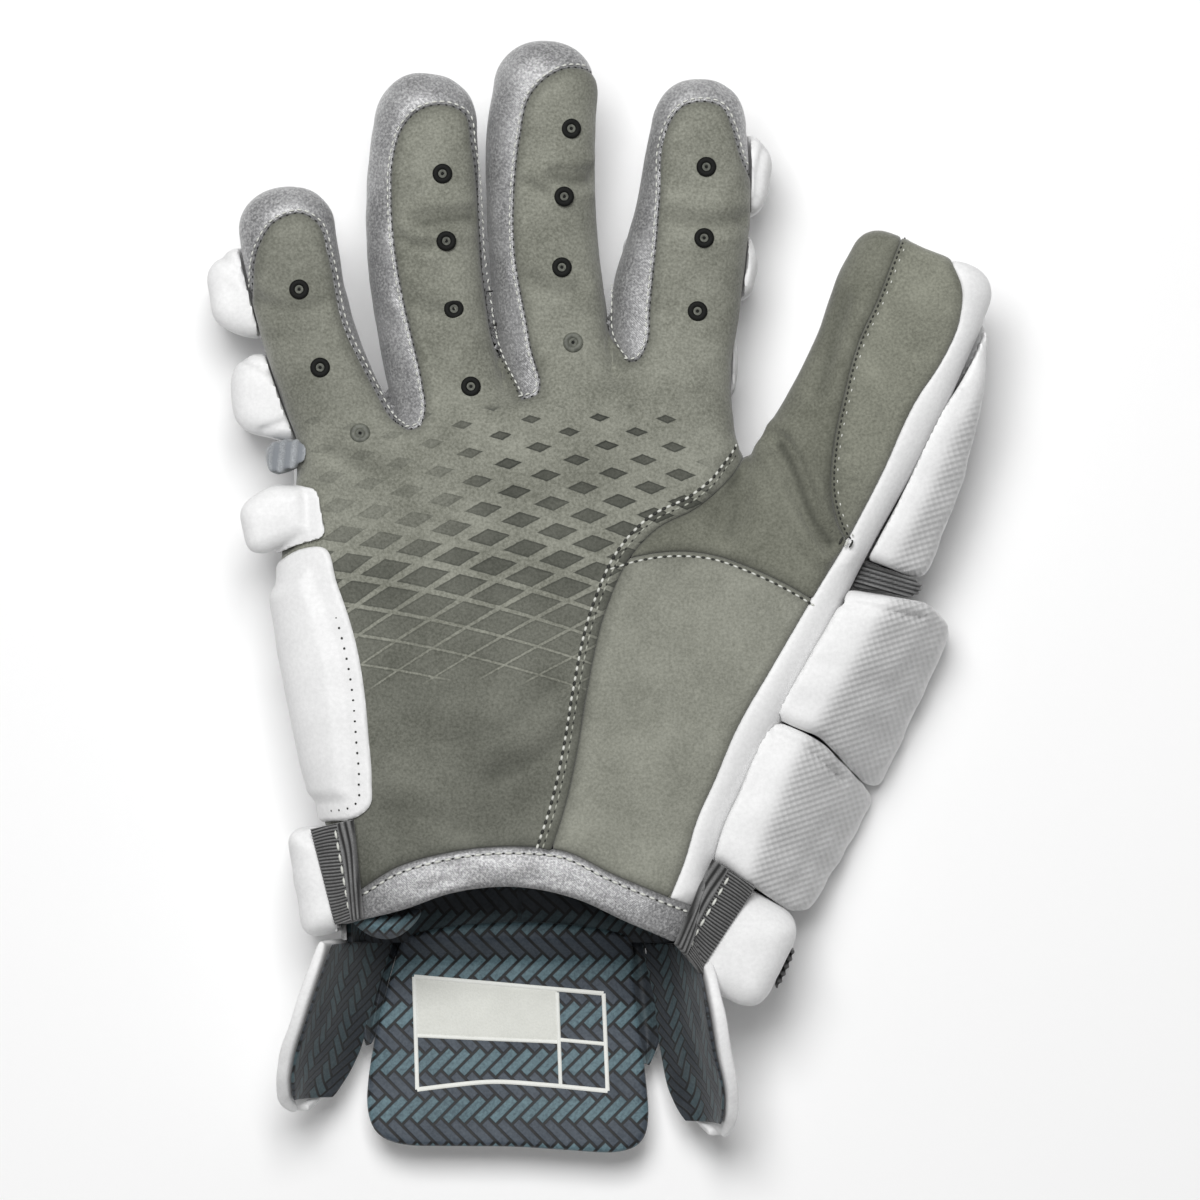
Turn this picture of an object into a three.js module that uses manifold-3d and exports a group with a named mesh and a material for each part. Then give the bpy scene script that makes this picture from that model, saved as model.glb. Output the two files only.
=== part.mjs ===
// A right-hand padded ball hockey glove lying on its back, palm up.
// Millimetres. +Y runs towards the fingers, +X towards the thumb, +Z up out of the palm. The floor is z = 0.
// One hollow skin of palm, four fingers and thumb is lofted from the tables below. Leather panels, mesh gussets and
// the back liner are cut out of its wall along the seams, and the pads are pillows cut to fit round it.
import * as THREE from "three";
import { mergeVertices } from "three/addons/utils/BufferGeometryUtils.js";
import Module from "manifold-3d";

const wasm = await Module();
wasm.setup();
const { Manifold, Mesh } = wasm;

// Driving dimensions
const WALL = 1.8; // leather, mesh and liner
const GAP = 0.35; // kept between sewn pieces
const FAR = 200; // past every side of the glove
const TOP = 90; // above the glove
const PALM_SPLIT = 38; // how low the palm leather wraps
const THUMB_SPLIT = 34; // how low the thumb leather and its piping wrap
const BACK_SPLIT = 28; // where the finger gussets end and the back liner begins
const WRIST_END = -100.3; // where the hand part ends and the cuff flaps begin
const LINING = 1.2; // printed lining cloth
const PIPING_PROUD = 1.2;
const BINDING_PROUD = 0.8;
const SIDE_PANEL_THICK = 3.2;
const RING_POINTS = 12; // round a finger
const PALM_POINTS = 22; // round the palm
const CAP_ANGLES = [90, 58, 24]; // rings of a rounded finger tip, degrees from its end

// Fingers and thumb. x, y, z is the middle of a section, w and h are half its width and height.
// The last row is the very tip. cap is how long its rounding is, and blunt under 1 squares it off.
const LIMBS = {
  pinky: {
    cap: 13,
    blunt: 0.9,
    rows: [
      { x: -64.2, y: 32.4, z: 41, w: 15, h: 13 },
      { x: -74.5, y: 51.6, z: 41, w: 14.8, h: 13 },
      { x: -82.5, y: 70.8, z: 40, w: 14.2, h: 12.5 },
      { x: -87.8, y: 88.5, z: 40, w: 14, h: 12.5 },
      { x: -91.2, y: 105.8, z: 41, w: 14.6, h: 12.3 },
      { x: -93.4, y: 122.3, z: 42.5, w: 14.6, h: 12 },
    ],
  },
  ring: {
    cap: 16,
    blunt: 0.9,
    rows: [
      { x: -35.3, y: 29.5, z: 41, w: 17.3, h: 14 },
      { x: -40.6, y: 47.2, z: 41, w: 17.3, h: 14 },
      { x: -45.6, y: 66.4, z: 40, w: 17.2, h: 13.5 },
      { x: -49.7, y: 88.5, z: 39.5, w: 17.2, h: 13.5 },
      { x: -51.5, y: 110.6, z: 40, w: 17.2, h: 13.5 },
      { x: -51.2, y: 134.8, z: 41.5, w: 16.3, h: 13 },
      { x: -49.7, y: 155.8, z: 43.5, w: 15.8, h: 12.5 },
    ],
  },
  middle: {
    cap: 16,
    blunt: 0.9,
    rows: [
      { x: -5.2, y: 32.4, z: 41, w: 17, h: 14 },
      { x: -8.4, y: 51.6, z: 41, w: 17, h: 14 },
      { x: -11.9, y: 70.8, z: 40, w: 16.8, h: 13.5 },
      { x: -14.9, y: 91.4, z: 39.5, w: 16.6, h: 13.5 },
      { x: -16.7, y: 112.6, z: 40, w: 16.4, h: 13.5 },
      { x: -16.7, y: 140, z: 41.5, w: 16.3, h: 13 },
      { x: -13.7, y: 165.4, z: 43.5, w: 15.6, h: 12.5 },
    ],
  },
  index: {
    cap: 15,
    blunt: 0.9,
    rows: [
      { x: 22, y: 32.4, z: 41, w: 16, h: 14 },
      { x: 22.6, y: 51.6, z: 41, w: 16.2, h: 14 },
      { x: 21.5, y: 70.8, z: 40, w: 18, h: 13.5 },
      { x: 23, y: 88.5, z: 39.5, w: 19.3, h: 13.5 },
      { x: 25.8, y: 103.3, z: 40, w: 18.3, h: 13.5 },
      { x: 28.4, y: 119.5, z: 40.8, w: 16.8, h: 13 },
      { x: 29.8, y: 135.8, z: 42, w: 15, h: 12.5 },
      { x: 30.8, y: 154, z: 43.5, w: 14.4, h: 12 },
    ],
  },
  thumb: {
    cap: 9,
    blunt: 0.35,
    rows: [
      { x: 17.5, y: -76, z: 41, w: 13.5, h: 16 },
      { x: 23.3, y: -57.3, z: 41, w: 17.2, h: 17 },
      { x: 29.8, y: -38.8, z: 41.5, w: 19.8, h: 18 },
      { x: 38, y: -18.7, z: 42, w: 21.6, h: 18 },
      { x: 46, y: -2.9, z: 42, w: 22, h: 17 },
      { x: 55.5, y: 16.1, z: 42, w: 21.4, h: 16 },
      { x: 64.2, y: 31.6, z: 42, w: 21, h: 15.5 },
      { x: 78.3, y: 57.5, z: 42, w: 21.2, h: 15 },
      { x: 84.8, y: 71.7, z: 42.5, w: 21.3, h: 15 },
      { x: 91.8, y: 88.8, z: 43, w: 21.8, h: 14.5 },
      { x: 98.3, y: 103.2, z: 44, w: 21.2, h: 14 },
    ],
  },
};
const LIMB_SQUARENESS = 2.4;

// The hand from the knuckles to the wrist. shear tilts a section: it follows the slanting line of the knuckles.
const PALM = [
  { x: -25.8, y: 59.6, shear: 0.19, w: 58, z: 41, h: 11 },
  { x: -25.8, y: 54.6, shear: 0.19, w: 62, z: 41, h: 15.5 },
  { x: -25, y: 41.3, shear: 0.15, w: 64.4, z: 41, h: 18 },
  { x: -24.2, y: 23.6, shear: 0.1, w: 68.3, z: 41, h: 18.5 },
  { x: -28, y: 5.9, shear: 0.05, w: 65.4, z: 41, h: 19 },
  { x: -29.2, y: -14.8, shear: 0, w: 61.8, z: 41, h: 19 },
  { x: -27.6, y: -35.4, shear: 0, w: 59.6, z: 41, h: 19.5 },
  { x: -25.2, y: -56.1, shear: 0, w: 57.2, z: 40.5, h: 21 },
  { x: -23.3, y: -73.8, shear: 0, w: 55.3, z: 39.5, h: 23 },
  { x: -22.9, y: WRIST_END, shear: 0, w: 53.1, z: 38.5, h: 25 },
];
const PALM_SQUARENESS = 2.9;

// Seams as seen from above
const SEAMS = {
  palmToThenar: [
    [-13.6, -73.6], [-9.9, -62.2], [-5.6, -43.1], [-3.1, -27.4], [3.1, -1.5], [9.6, 12.4], [17.6, 20.9], [29.6, 27.1],
    [43.5, 38.9], [52, 47],
  ],
  pinkyTip: [
    [-102.5, 88.5], [-100.2, 103.8], [-94.8, 111.5], [-86.9, 113.9], [-81.9, 110.9], [-78.9, 101.8], [-73.9, 79.6],
    [-68.3, 68.4], [-59.7, 56.6], [-53.5, 49.6],
  ],
  ringTip: [
    [-53.5, 49.6], [-51.2, 55.5], [-54.4, 75.8], [-58, 91.4], [-60.9, 116.5], [-60.3, 130.4], [-57.4, 139.2],
    [-51.8, 144.5], [-44.1, 145.7], [-38.8, 143.4], [-36.7, 133.9], [-33.2, 93.2], [-29.6, 73.5], [-22.6, 59.3],
  ],
  middleTip: [
    [-22.6, 59.3], [-18.4, 60.5], [-20.2, 75.8], [-24.9, 105.3], [-24.6, 122.7], [-22.9, 136.6], [-19.9, 148.4],
    [-14.6, 154], [-7.5, 156.9], [-1.6, 155.8], [2, 150],
  ],
  middleRight: [[5.5, 136.6], [4.2, 110.6], [3.4, 91.4], [5.3, 76.7], [9, 69]],
  indexTip: [
    [9, 69], [12.9, 71], [15.2, 84.7], [18.1, 119.2], [18.7, 133.9], [20.8, 140.4], [24.9, 145.4], [30.2, 146.9],
    [36.7, 145.4], [40, 139.2], [42.3, 131.3], [48, 120],
  ],
  bindingTop: [[-90, -92], [-72.4, -86.4], [-59.1, -78.5], [-43.2, -74], [-24.3, -72.3], [-9.3, -73.8], [4, -80.2], [20.8, -87.3], [40, -95]],
  bindingBottom: [[-90, -100], [-72.4, -94.7], [-57.4, -90.9], [-43, -86], [-24.3, -84.1], [-5.5, -87.9], [8.7, -94.4], [20.8, -99.5], [40, -108]],
  thenarStitch: [[4, 10.5], [10.2, 12.4], [23.5, 14.2], [33.8, 13.3], [44.4, 9.7], [54.7, 5], [66, -1.5]],
  thumbFold: [[94, 116], [87.8, 102.7], [82.5, 88.8], [76.6, 75.8], [72.1, 58.7], [69.5, 45.7], [69, 30], [73, 18.3], [78, 13]],
  pipingInner: [
    [101, 112], [105, 99], [107.5, 92], [106.9, 82], [101.6, 69.9], [94.5, 59.3], [83.3, 35.4], [73.3, 16.5], [63.3, 0],
    [51.2, -20.6], [40.9, -38.6], [34.7, -53.4], [29.6, -64.9], [26.1, -76.7], [21.5, -88],
  ],
};

// Where each finger's gusset ends against its neighbours
const GUSSET_ZONES = {
  pinky_gusset: [[-125, 36], [-125, 135], [-72.5, 135], [-72, 97], [-71.2, 84.7], [-70.4, 75.5], [-85, 75.5], [-80, 36]],
  ring_gusset: [
    [-72.1, 165], [-33.9, 165], [-33.9, 132.8], [-33.7, 110.6], [-31.8, 88.5], [-30.2, 78], [-42, 78], [-36, 45], [-79, 45],
    [-84.6, 75.1], [-70, 75.1], [-70.8, 84.7], [-71.6, 97],
  ],
  middle_gusset: [
    [-33.5, 175], [8, 175], [6.6, 136.6], [4.3, 110.6], [3.1, 93], [4.5, 78.3], [-12, 78.3], [-7, 50], [-35.6, 50],
    [-41.6, 77.6], [-29.7, 77.6], [-31.4, 88.5], [-33.3, 110.6], [-33.5, 132.8],
  ],
  index_gusset: [[8.4, 170], [60, 170], [60, 60], [-8.6, 60], [-11.6, 77.9], [4.9, 77.9], [3.5, 93], [4.7, 110.6], [7, 136.6]],
};

// Pads. outline is their shape from above, low and high their faces, edge how far those faces are rounded.
const PADS = {
  pinky_pad_tip: {
    outline: [[-115.7, 97], [-107, 104.5], [-77.5, 99], [-74.5, 80], [-104, 77.5], [-113.8, 82]],
    low: 8, high: 42, edge: 5,
  },
  pinky_pad_middle: {
    outline: [[-109, 66], [-104.5, 72.5], [-71, 74], [-65.5, 54], [-90, 46.5], [-106.8, 50.5]],
    low: 7, high: 42, edge: 5,
  },
  ring_pad_tip: { outline: [[-67, 136], [-36.5, 136], [-36.5, 114], [-67, 114]], low: 9, high: 33, edge: 5 },
  ring_pad_middle: { outline: [[-67.5, 111], [-35.5, 111], [-34, 87.5], [-66, 87.5]], low: 8, high: 33, edge: 5 },
  ring_pad_base: { outline: [[-65.5, 84.5], [-33.5, 84.5], [-28, 62.5], [-60, 60.5]], low: 7, high: 33, edge: 5 },
  middle_pad_tip: { outline: [[-32, 145], [-1.5, 145], [-1.5, 122], [-32, 122]], low: 9, high: 33, edge: 5 },
  middle_pad_middle: { outline: [[-32, 119], [-1, 119], [0, 94.5], [-30.5, 94.5]], low: 8, high: 33, edge: 5 },
  middle_pad_base: { outline: [[-30, 91.5], [0.5, 91.5], [4, 65.5], [-25.5, 65.5]], low: 7, high: 33, edge: 5 },
  index_pad_tip: {
    outline: [[14.5, 136], [47.5, 137.8], [52, 131], [50, 117.5], [45, 113], [12.5, 112]],
    low: 9, high: 42, edge: 5,
  },
  index_pad_middle: { outline: [[8, 109], [45, 109.5], [47.8, 100], [45.5, 89], [6, 87.5]], low: 8, high: 41, edge: 5 },
  index_pad_base: { outline: [[6, 84.5], [40, 84.5], [42, 70], [40, 58.5], [8, 59.5]], low: 7, high: 40, edge: 5 },
  knuckle_roll_outer: { outline: [[-90, 47], [-33, 58], [-32, 22], [-91, 17.5]], low: 2, high: 27, edge: 6 },
  knuckle_roll_inner: { outline: [[-30.5, 56], [-24, 61.5], [4.5, 61.5], [8, 56], [37, 55], [38, 27], [-31, 22]], low: 2, high: 27, edge: 6 },
  backhand_roll_upper: { outline: [[-91, 14.5], [38, 24], [28.5, -24], [-89, -24]], low: 0, high: 27, edge: 7 },
  backhand_roll_lower: { outline: [[-88.5, -26.5], [26, -26.5], [10.5, -66], [-81, -66]], low: 0, high: 27, edge: 7 },
  thumb_roll_upper: {
    outline: [[46, 4], [73.5, 3.2], [98, -0.8], [105.6, -9], [84.8, -56], [79.5, -55], [66, -40.6], [50, -34], [31, -26]],
    low: 1, high: 54, edge: 8,
  },
  thumb_roll_lower: {
    outline: [[30.3, -27.6], [49.5, -35.6], [65, -42.2], [81, -57], [82.4, -61], [63, -92.9], [57, -92], [33.8, -76.5], [14, -66]],
    low: 1, high: 54, edge: 8,
  },
  thumb_cap: {
    outline: [
      [82, 101], [104, 98], [115, 80], [114.4, 62], [108.5, 36], [98, 8], [94.5, 6.4], [78, 12.6], [60, 32], [57, 50], [66, 76],
    ],
    low: 5, high: 48, edge: 8,
  },
  thumb_flex_strip: { outline: [[72, 13], [97, 5.6], [94.5, 0], [70, 5.2]], low: 12, high: 42, edge: 3 },
  pinky_flex_strip: { outline: [[-98, 45.6], [-88.5, 47.2], [-84.5, 45], [-86, 40], [-96.5, 36.6]], low: 29, high: 51, edge: 3 },
  wrist_pad_left: { outline: [[-92, -68.2], [-78, -66.6], [-70, -97], [-86.6, -100]], low: 3, high: 50, edge: 5 },
  wrist_pad_centre: { outline: [[-73, -68.4], [10, -68.4], [10, -100], [-66, -100]], low: 0, high: 30, edge: 6 },
  wrist_pad_right: { outline: [[33.4, -78], [56.8, -92.4], [59.8, -98], [49.5, -119], [43.5, -120.3], [12, -105]], low: 2, high: 48, edge: 6 },
  wrist_strap_tab: { outline: [[57.5, -103.1], [59, -103.8], [53.7, -115.5], [52.2, -114.8]], low: 16, high: 34, edge: 0.5 },
};
const KNUCKLE_SIDE = {
  outline: [[-102.5, 26], [-99, 30], [-92, 33.8], [-82.5, 33], [-79.8, 18.4], [-88, 16.4], [-96, 13], [-100, 14.5]],
  low: 29, high: 56, edge: 5, flange: 2.2,
};
const SIDE_PANEL = [
  [-120, 9], [-94, 10.6], [-87.8, 14.6], [-80.1, 15.3], [-76.6, 5.3], [-73, -5], [-70.1, -16.2], [-68.3, -27.4],
  [-67.1, -40.4], [-66.2, -53.4], [-66.8, -60.8], [-69.5, -63.2], [-83.6, -65.4], [-120, -65.4],
];

// Elastic straps from the palm's corners to the wrist pads: their four corners, with heights, and their thickness
const STRAPS = {
  elastic_strap_left: { corners: [[-84.5, -67.4, 51.5], [-71.5, -64.4, 59], [-68.6, -93.5, 59.5], [-77, -95.6, 51.5]], thick: 1.6 },
  elastic_strap_right: { corners: [[33.8, -76.1, 54], [46.5, -84.7, 50], [29.4, -110.3, 50], [21.1, -100.9, 56.5]], thick: 1.6 },
};

// Cuff flaps that stand up beside the wrist: where their inner face begins and where its rim is, section by section
const FLAPS = {
  left: {
    outward: -1,
    rows: [
      { y: WRIST_END - GAP, baseX: -60, baseZ: 15, rimX: -77.5, rimZ: 55 },
      { y: -112, baseX: -63.8, baseZ: 14, rimX: -81.5, rimZ: 55 },
      { y: -124, baseX: -67.3, baseZ: 13.5, rimX: -85.5, rimZ: 53 },
      { y: -136, baseX: -71, baseZ: 14, rimX: -88.8, rimZ: 48 },
      { y: -144, baseX: -76, baseZ: 16, rimX: -88.5, rimZ: 42 },
      { y: -149.5, baseX: -80.6, baseZ: 22, rimX: -85.4, rimZ: 35 },
    ],
  },
  right: {
    outward: 1,
    rows: [
      { y: WRIST_END - GAP, baseX: 13, baseZ: 15, rimX: 28, rimZ: 55 },
      { y: -118, baseX: 16, baseZ: 14, rimX: 31.6, rimZ: 55 },
      { y: -133, baseX: 18, baseZ: 13.5, rimX: 34, rimZ: 53 },
      { y: -148, baseX: 21.8, baseZ: 14.5, rimX: 36.2, rimZ: 46 },
      { y: -157, baseX: 26.6, baseZ: 21, rimX: 34.2, rimZ: 38 },
    ],
  },
};
const FLAP_THICK = 6.2;
const FLAP_BOW = 3; // how far a flap bows outwards between base and rim

const CENTRE_FLAP = [
  [-57.4, -100.7], [-65.5, -124.5], [-68.4, -141.6], [-69, -152], [-66, -159.6], [-58, -162.6], [-24.3, -162.8], [5.8, -164.9],
  [13.4, -162.2], [15.6, -154.9], [14, -137.8], [11.6, -118], [9.5, -100.7],
];
const CENTRE_FLAP_CURL = { from: -112, rise: 0.0022 }; // the flap's end curls up off the floor

// Colours
const leather = new THREE.MeshStandardMaterial({ color: 0x80816f, roughness: 0.85 });
const silverMesh = new THREE.MeshStandardMaterial({ color: 0x9d9d9d, roughness: 0.6, metalness: 0.1 });
const whiteSkin = new THREE.MeshStandardMaterial({ color: 0xeeeeee, roughness: 0.5 });
const linerCloth = new THREE.MeshStandardMaterial({ color: 0x8a8a8a, roughness: 0.8 });
const printedLining = new THREE.MeshStandardMaterial({ color: 0x2c4149, roughness: 0.75 });
const elastic = new THREE.MeshStandardMaterial({ color: 0x4b4b4b, roughness: 0.9 });

// Rings of points, all the same length, as a solid closed over its two ends
function solidFromRings(rings) {
  const count = rings[0].length;
  const faces = [];
  for (let r = 0; r + 1 < rings.length; r++) {
    for (let i = 0; i < count; i++) {
      const a = r * count + i;
      const b = r * count + ((i + 1) % count);
      faces.push(a, b, b + count, a, b + count, a + count);
    }
  }
  const last = (rings.length - 1) * count;
  for (const [a, b, c] of lid(rings[0])) faces.push(a, c, b);
  for (const [a, b, c] of lid(rings[rings.length - 1])) faces.push(last + a, last + b, last + c);
  return facingOut(new Float32Array(rings.flat(2)), new Uint32Array(faces));
}

// The triangles that close a ring, turning the same way as its points
function lid(ring) {
  const edge = (i) => new THREE.Vector3(...ring[i % ring.length]);
  const facing = new THREE.Vector3();
  for (let i = 0; i < ring.length; i++) facing.add(edge(i).cross(edge(i + 1)));
  const [, skip] = ["x", "y", "z"].map((axis) => [Math.abs(facing[axis]), axis]).sort((p, q) => q[0] - p[0])[0];
  const flat = ring.map(([x, y, z]) => new THREE.Vector2(skip === "x" ? y : x, skip === "z" ? y : z));
  const triangles = THREE.ShapeUtils.triangulateShape(flat, []);
  const turn = ([a, b, c]) => (flat[b].x - flat[a].x) * (flat[c].y - flat[a].y) - (flat[b].y - flat[a].y) * (flat[c].x - flat[a].x);
  const forward = !THREE.ShapeUtils.isClockWise(flat);
  return triangles.map(([a, b, c]) => (turn([a, b, c]) > 0 === forward ? [a, b, c] : [a, c, b]));
}

function facingOut(vertProperties, triVerts) {
  const made = new Manifold(new Mesh({ numProp: 3, vertProperties, triVerts }));
  if (made.volume() > 0) return made;
  const turned = triVerts.slice();
  for (let i = 0; i < turned.length; i += 3) [turned[i + 1], turned[i + 2]] = [turned[i + 2], turned[i + 1]];
  return new Manifold(new Mesh({ numProp: 3, vertProperties, triVerts: turned }));
}

function solidFromGeometry(geometry) {
  const bare = new THREE.BufferGeometry().setAttribute("position", geometry.getAttribute("position"));
  if (geometry.index) bare.setIndex(geometry.index);
  const merged = mergeVertices(bare, 1e-4);
  return facingOut(merged.attributes.position.array, new Uint32Array(merged.index.array));
}

// A point of a superellipse with half sizes 1, squareness 2 being an ellipse
function superellipse(turn, squareness) {
  const c = Math.cos(turn);
  const s = Math.sin(turn);
  const power = 2 / squareness;
  return [Math.sign(c) * Math.abs(c) ** power, Math.sign(s) * Math.abs(s) ** power];
}

// A finger or the thumb, its sections grown all round by grow
function limb({ rows, cap, blunt }, grow) {
  const tip = rows[rows.length - 1];
  const before = rows[rows.length - 2];
  const along = new THREE.Vector3(tip.x - before.x, tip.y - before.y, tip.z - before.z).normalize();
  const section = (at, heading, w, h) => {
    const side = new THREE.Vector3(heading.y, -heading.x, 0).normalize();
    return Array.from({ length: RING_POINTS }, (_, i) => {
      const [a, b] = superellipse((2 * Math.PI * (i + 0.5)) / RING_POINTS, LIMB_SQUARENESS);
      return [at.x + side.x * a * w, at.y + side.y * a * w, at.z + b * h];
    });
  };
  const rings = rows.slice(0, -1).map((row, i) => {
    const previous = rows[Math.max(0, i - 1)];
    const next = rows[i + 1];
    const heading = new THREE.Vector3(next.x - previous.x, next.y - previous.y, 0);
    return section(row, heading, row.w + grow, row.h + grow);
  });
  for (const angle of CAP_ANGLES) {
    const turn = THREE.MathUtils.degToRad(angle);
    const back = (cap + grow) * (1 - Math.cos(turn)) - grow;
    const at = new THREE.Vector3(tip.x, tip.y, tip.z).addScaledVector(along, -back);
    const share = Math.sin(turn) ** blunt;
    rings.push(section(at, along, (tip.w + grow) * share, (tip.h + grow) * share));
  }
  return solidFromRings(rings);
}

// The hand part, grown by grow; where grow is negative it runs out past the wrist, so that the hollow is open
function palm(grow) {
  const rings = PALM.map((row, r) => {
    const first = r === 0 ? grow : 0;
    const last = r === PALM.length - 1 && grow < 0 ? -FAR / 20 : 0;
    return Array.from({ length: PALM_POINTS }, (_, i) => {
      const [a, b] = superellipse((2 * Math.PI * (i + 0.5)) / PALM_POINTS, PALM_SQUARENESS);
      const across = a * (row.w + grow);
      return [row.x + across, row.y + row.shear * across + first + last, row.z + b * (row.h + grow)];
    });
  });
  return solidFromRings(rings);
}

const skins = new Map();
function skin(grow) {
  if (!skins.has(grow)) {
    const limbs = Object.values(LIMBS).map((shape) => limb(shape, grow));
    skins.set(grow, Manifold.union([palm(grow), ...limbs]));
  }
  return skins.get(grow);
}

// The wall of the hand between two depths, counted outwards from the skin's face
const layer = (inner, outer) => skin(outer).subtract(skin(inner));

function prism(outline, low, high) {
  const shape = new THREE.Shape(outline.map(([x, y]) => new THREE.Vector2(x, y)));
  const geometry = new THREE.ExtrudeGeometry(shape, { depth: high - low, bevelEnabled: false });
  return solidFromGeometry(geometry.translate(0, 0, low));
}

// The outline moved outwards by a margin, corner by corner
function grown(outline, margin) {
  const points = outline.map(([x, y]) => new THREE.Vector2(x, y));
  const side = THREE.ShapeUtils.isClockWise(points) ? -1 : 1;
  return points.map((p, i) => {
    const before = p.clone().sub(points.at(i - 1)).normalize();
    const after = points[(i + 1) % points.length].clone().sub(p).normalize();
    const normal = new THREE.Vector2(before.y + after.y, -before.x - after.x).normalize();
    const reach = margin / Math.max(0.5, normal.dot(new THREE.Vector2(before.y, -before.x)));
    return [p.x + side * normal.x * reach, p.y + side * normal.y * reach];
  });
}

// The same prism with GAP added all round and below
const clearance = (outline, low, high) => prism(grown(outline, GAP), low - GAP, high);

const reversed = (points) => points.slice().reverse();

// The outline with its corners cut off
function rounded(outline, radius) {
  return outline.flatMap((corner, i) => {
    const c = new THREE.Vector2(...corner);
    const toPrevious = new THREE.Vector2(...outline[(i + outline.length - 1) % outline.length]).sub(c);
    const toNext = new THREE.Vector2(...outline[(i + 1) % outline.length]).sub(c);
    const reach = Math.min(radius, toPrevious.length() * 0.45, toNext.length() * 0.45);
    const a = c.clone().addScaledVector(toPrevious.normalize(), reach);
    const b = c.clone().addScaledVector(toNext.normalize(), reach);
    return [a, b].map((p) => [p.x, p.y]);
  });
}

// A pad: the outline between two faces, both rounded over by edge
function pillow({ outline, low, high, edge }) {
  const rim = rounded(outline, edge * 0.8);
  const cx = rim.reduce((sum, p) => sum + p[0], 0) / rim.length;
  const cy = rim.reduce((sum, p) => sum + p[1], 0) / rim.length;
  const halfX = Math.max(...rim.map((p) => Math.abs(p[0] - cx)));
  const halfY = Math.max(...rim.map((p) => Math.abs(p[1] - cy)));
  const ring = (inset, z) =>
    rim.map(([x, y]) => [cx + (x - cx) * (1 - inset / halfX), cy + (y - cy) * (1 - inset / halfY), z]);
  return solidFromRings([ring(edge, low), ring(0, low + edge), ring(0, high - edge), ring(edge, high)]);
}

// A flap beside the wrist, between two depths behind its inner face, and a margin longer at its four edges
function flap({ rows, outward }, inner, outer, margin = 0) {
  const steps = 4;
  const profile = (row, depth) =>
    Array.from({ length: steps + 1 }, (_, i) => {
      const dx = row.rimX - row.baseX;
      const dz = row.rimZ - row.baseZ;
      const length = Math.hypot(dx, dz);
      const share = i / steps + ((i * 2) / steps - 1) * (margin / length);
      const out = FLAP_BOW * Math.sin(Math.PI * (i / steps)) + depth;
      const nx = (outward * Math.abs(dz)) / length;
      const nz = -Math.abs(dx) / length;
      return [row.baseX + dx * share + nx * out, row.y, row.baseZ + dz * share + nz * out];
    });
  const rings = rows.map((row, r) => {
    const shift = r === 0 ? margin : r === rows.length - 1 ? -margin : 0;
    const ring = [...profile(row, inner), ...profile(row, outer).reverse()];
    return ring.map(([x, y, z]) => [x, y + shift, z]);
  });
  return solidFromRings(rings);
}

// A strap: a sheet through four corners with heights, a little crowned across
function strap({ corners, thick }) {
  const steps = 4;
  const [a, b, c, d] = corners.map((p) => new THREE.Vector3(...p));
  const rings = [];
  for (let i = 0; i <= steps; i++) {
    const left = a.clone().lerp(d, i / steps);
    const right = b.clone().lerp(c, i / steps);
    const top = [];
    for (let k = 0; k <= steps; k++) {
      const p = left.clone().lerp(right, k / steps);
      top.push([p.x, p.y, p.z + 0.6 * Math.sin((Math.PI * k) / steps)]);
    }
    rings.push([...top, ...top.map(([x, y, z]) => [x, y, z - thick]).reverse()]);
  }
  return solidFromRings(rings);
}

// The regions of the skin's wall that each panel takes, seen from above, in the order in which they are cut
const outer = FAR * 0.7;
const bindingLeft = SEAMS.bindingTop.filter(([x]) => x < -16);
const bindingRight = SEAMS.bindingTop.filter(([x]) => x > -16);
const palmOutline = [
  ...bindingLeft,
  ...SEAMS.palmToThenar,
  [60, 62],
  ...reversed(SEAMS.indexTip),
  ...reversed(SEAMS.middleRight),
  ...reversed(SEAMS.middleTip),
  ...reversed(SEAMS.ringTip),
  ...reversed(SEAMS.pinkyTip),
  [-outer, 88.5],
  [-outer, -92],
];

const REGIONS = [
  { name: "palm_panel", low: PALM_SPLIT, outline: palmOutline, material: leather },
  {
    name: "cuff_binding",
    low: PALM_SPLIT,
    outline: [...SEAMS.bindingBottom, ...reversed(SEAMS.bindingTop)],
    material: silverMesh,
    proud: BINDING_PROUD,
    deeper: 0.6,
  },
  {
    name: "thumb_piping",
    low: THUMB_SPLIT,
    outline: [...SEAMS.pipingInner, [40, -100], [outer, -100], [outer, 118]],
    material: whiteSkin,
    proud: PIPING_PROUD,
  },
  {
    name: "thenar_panel",
    low: THUMB_SPLIT,
    outline: [[-22, -60], [-15, -20], [-2, 10], ...SEAMS.thenarStitch, [90, -20], [60, -95], ...reversed(bindingRight)],
    material: leather,
  },
  {
    name: "thumb_face_panel",
    low: THUMB_SPLIT,
    outline: [...SEAMS.thumbFold, [120, 13], [120, 116]],
    material: leather,
  },
  {
    name: "thumb_saddle_panel",
    low: THUMB_SPLIT,
    outline: [[-10, 8], [15, 40], [43, 62], [43, 120], [120, 120], [120, -30], [66, -30]],
    material: leather,
  },
  ...Object.entries(GUSSET_ZONES).map(([name, outline]) => ({ name, low: BACK_SPLIT, outline, material: silverMesh })),
];

const glove = new THREE.Group();
const solids = new Map();

// Adds the main body of a solid as a named mesh. Crumbs that a cut leaves are dropped.
function add(name, solid, material) {
  const main = (whole) => whole.decompose().sort((a, b) => b.volume() - a.volume())[0];
  const body = main(main(solid).simplify(0.03));
  const mesh = body.getMesh();
  const geometry = new THREE.BufferGeometry();
  geometry.setAttribute("position", new THREE.BufferAttribute(new Float32Array(mesh.vertProperties), 3));
  geometry.setIndex(new THREE.BufferAttribute(new Uint32Array(mesh.triVerts), 1));
  geometry.computeVertexNormals();
  const part = new THREE.Mesh(geometry, material);
  part.name = name;
  glove.add(part);
  solids.set(name, body);
}

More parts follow.
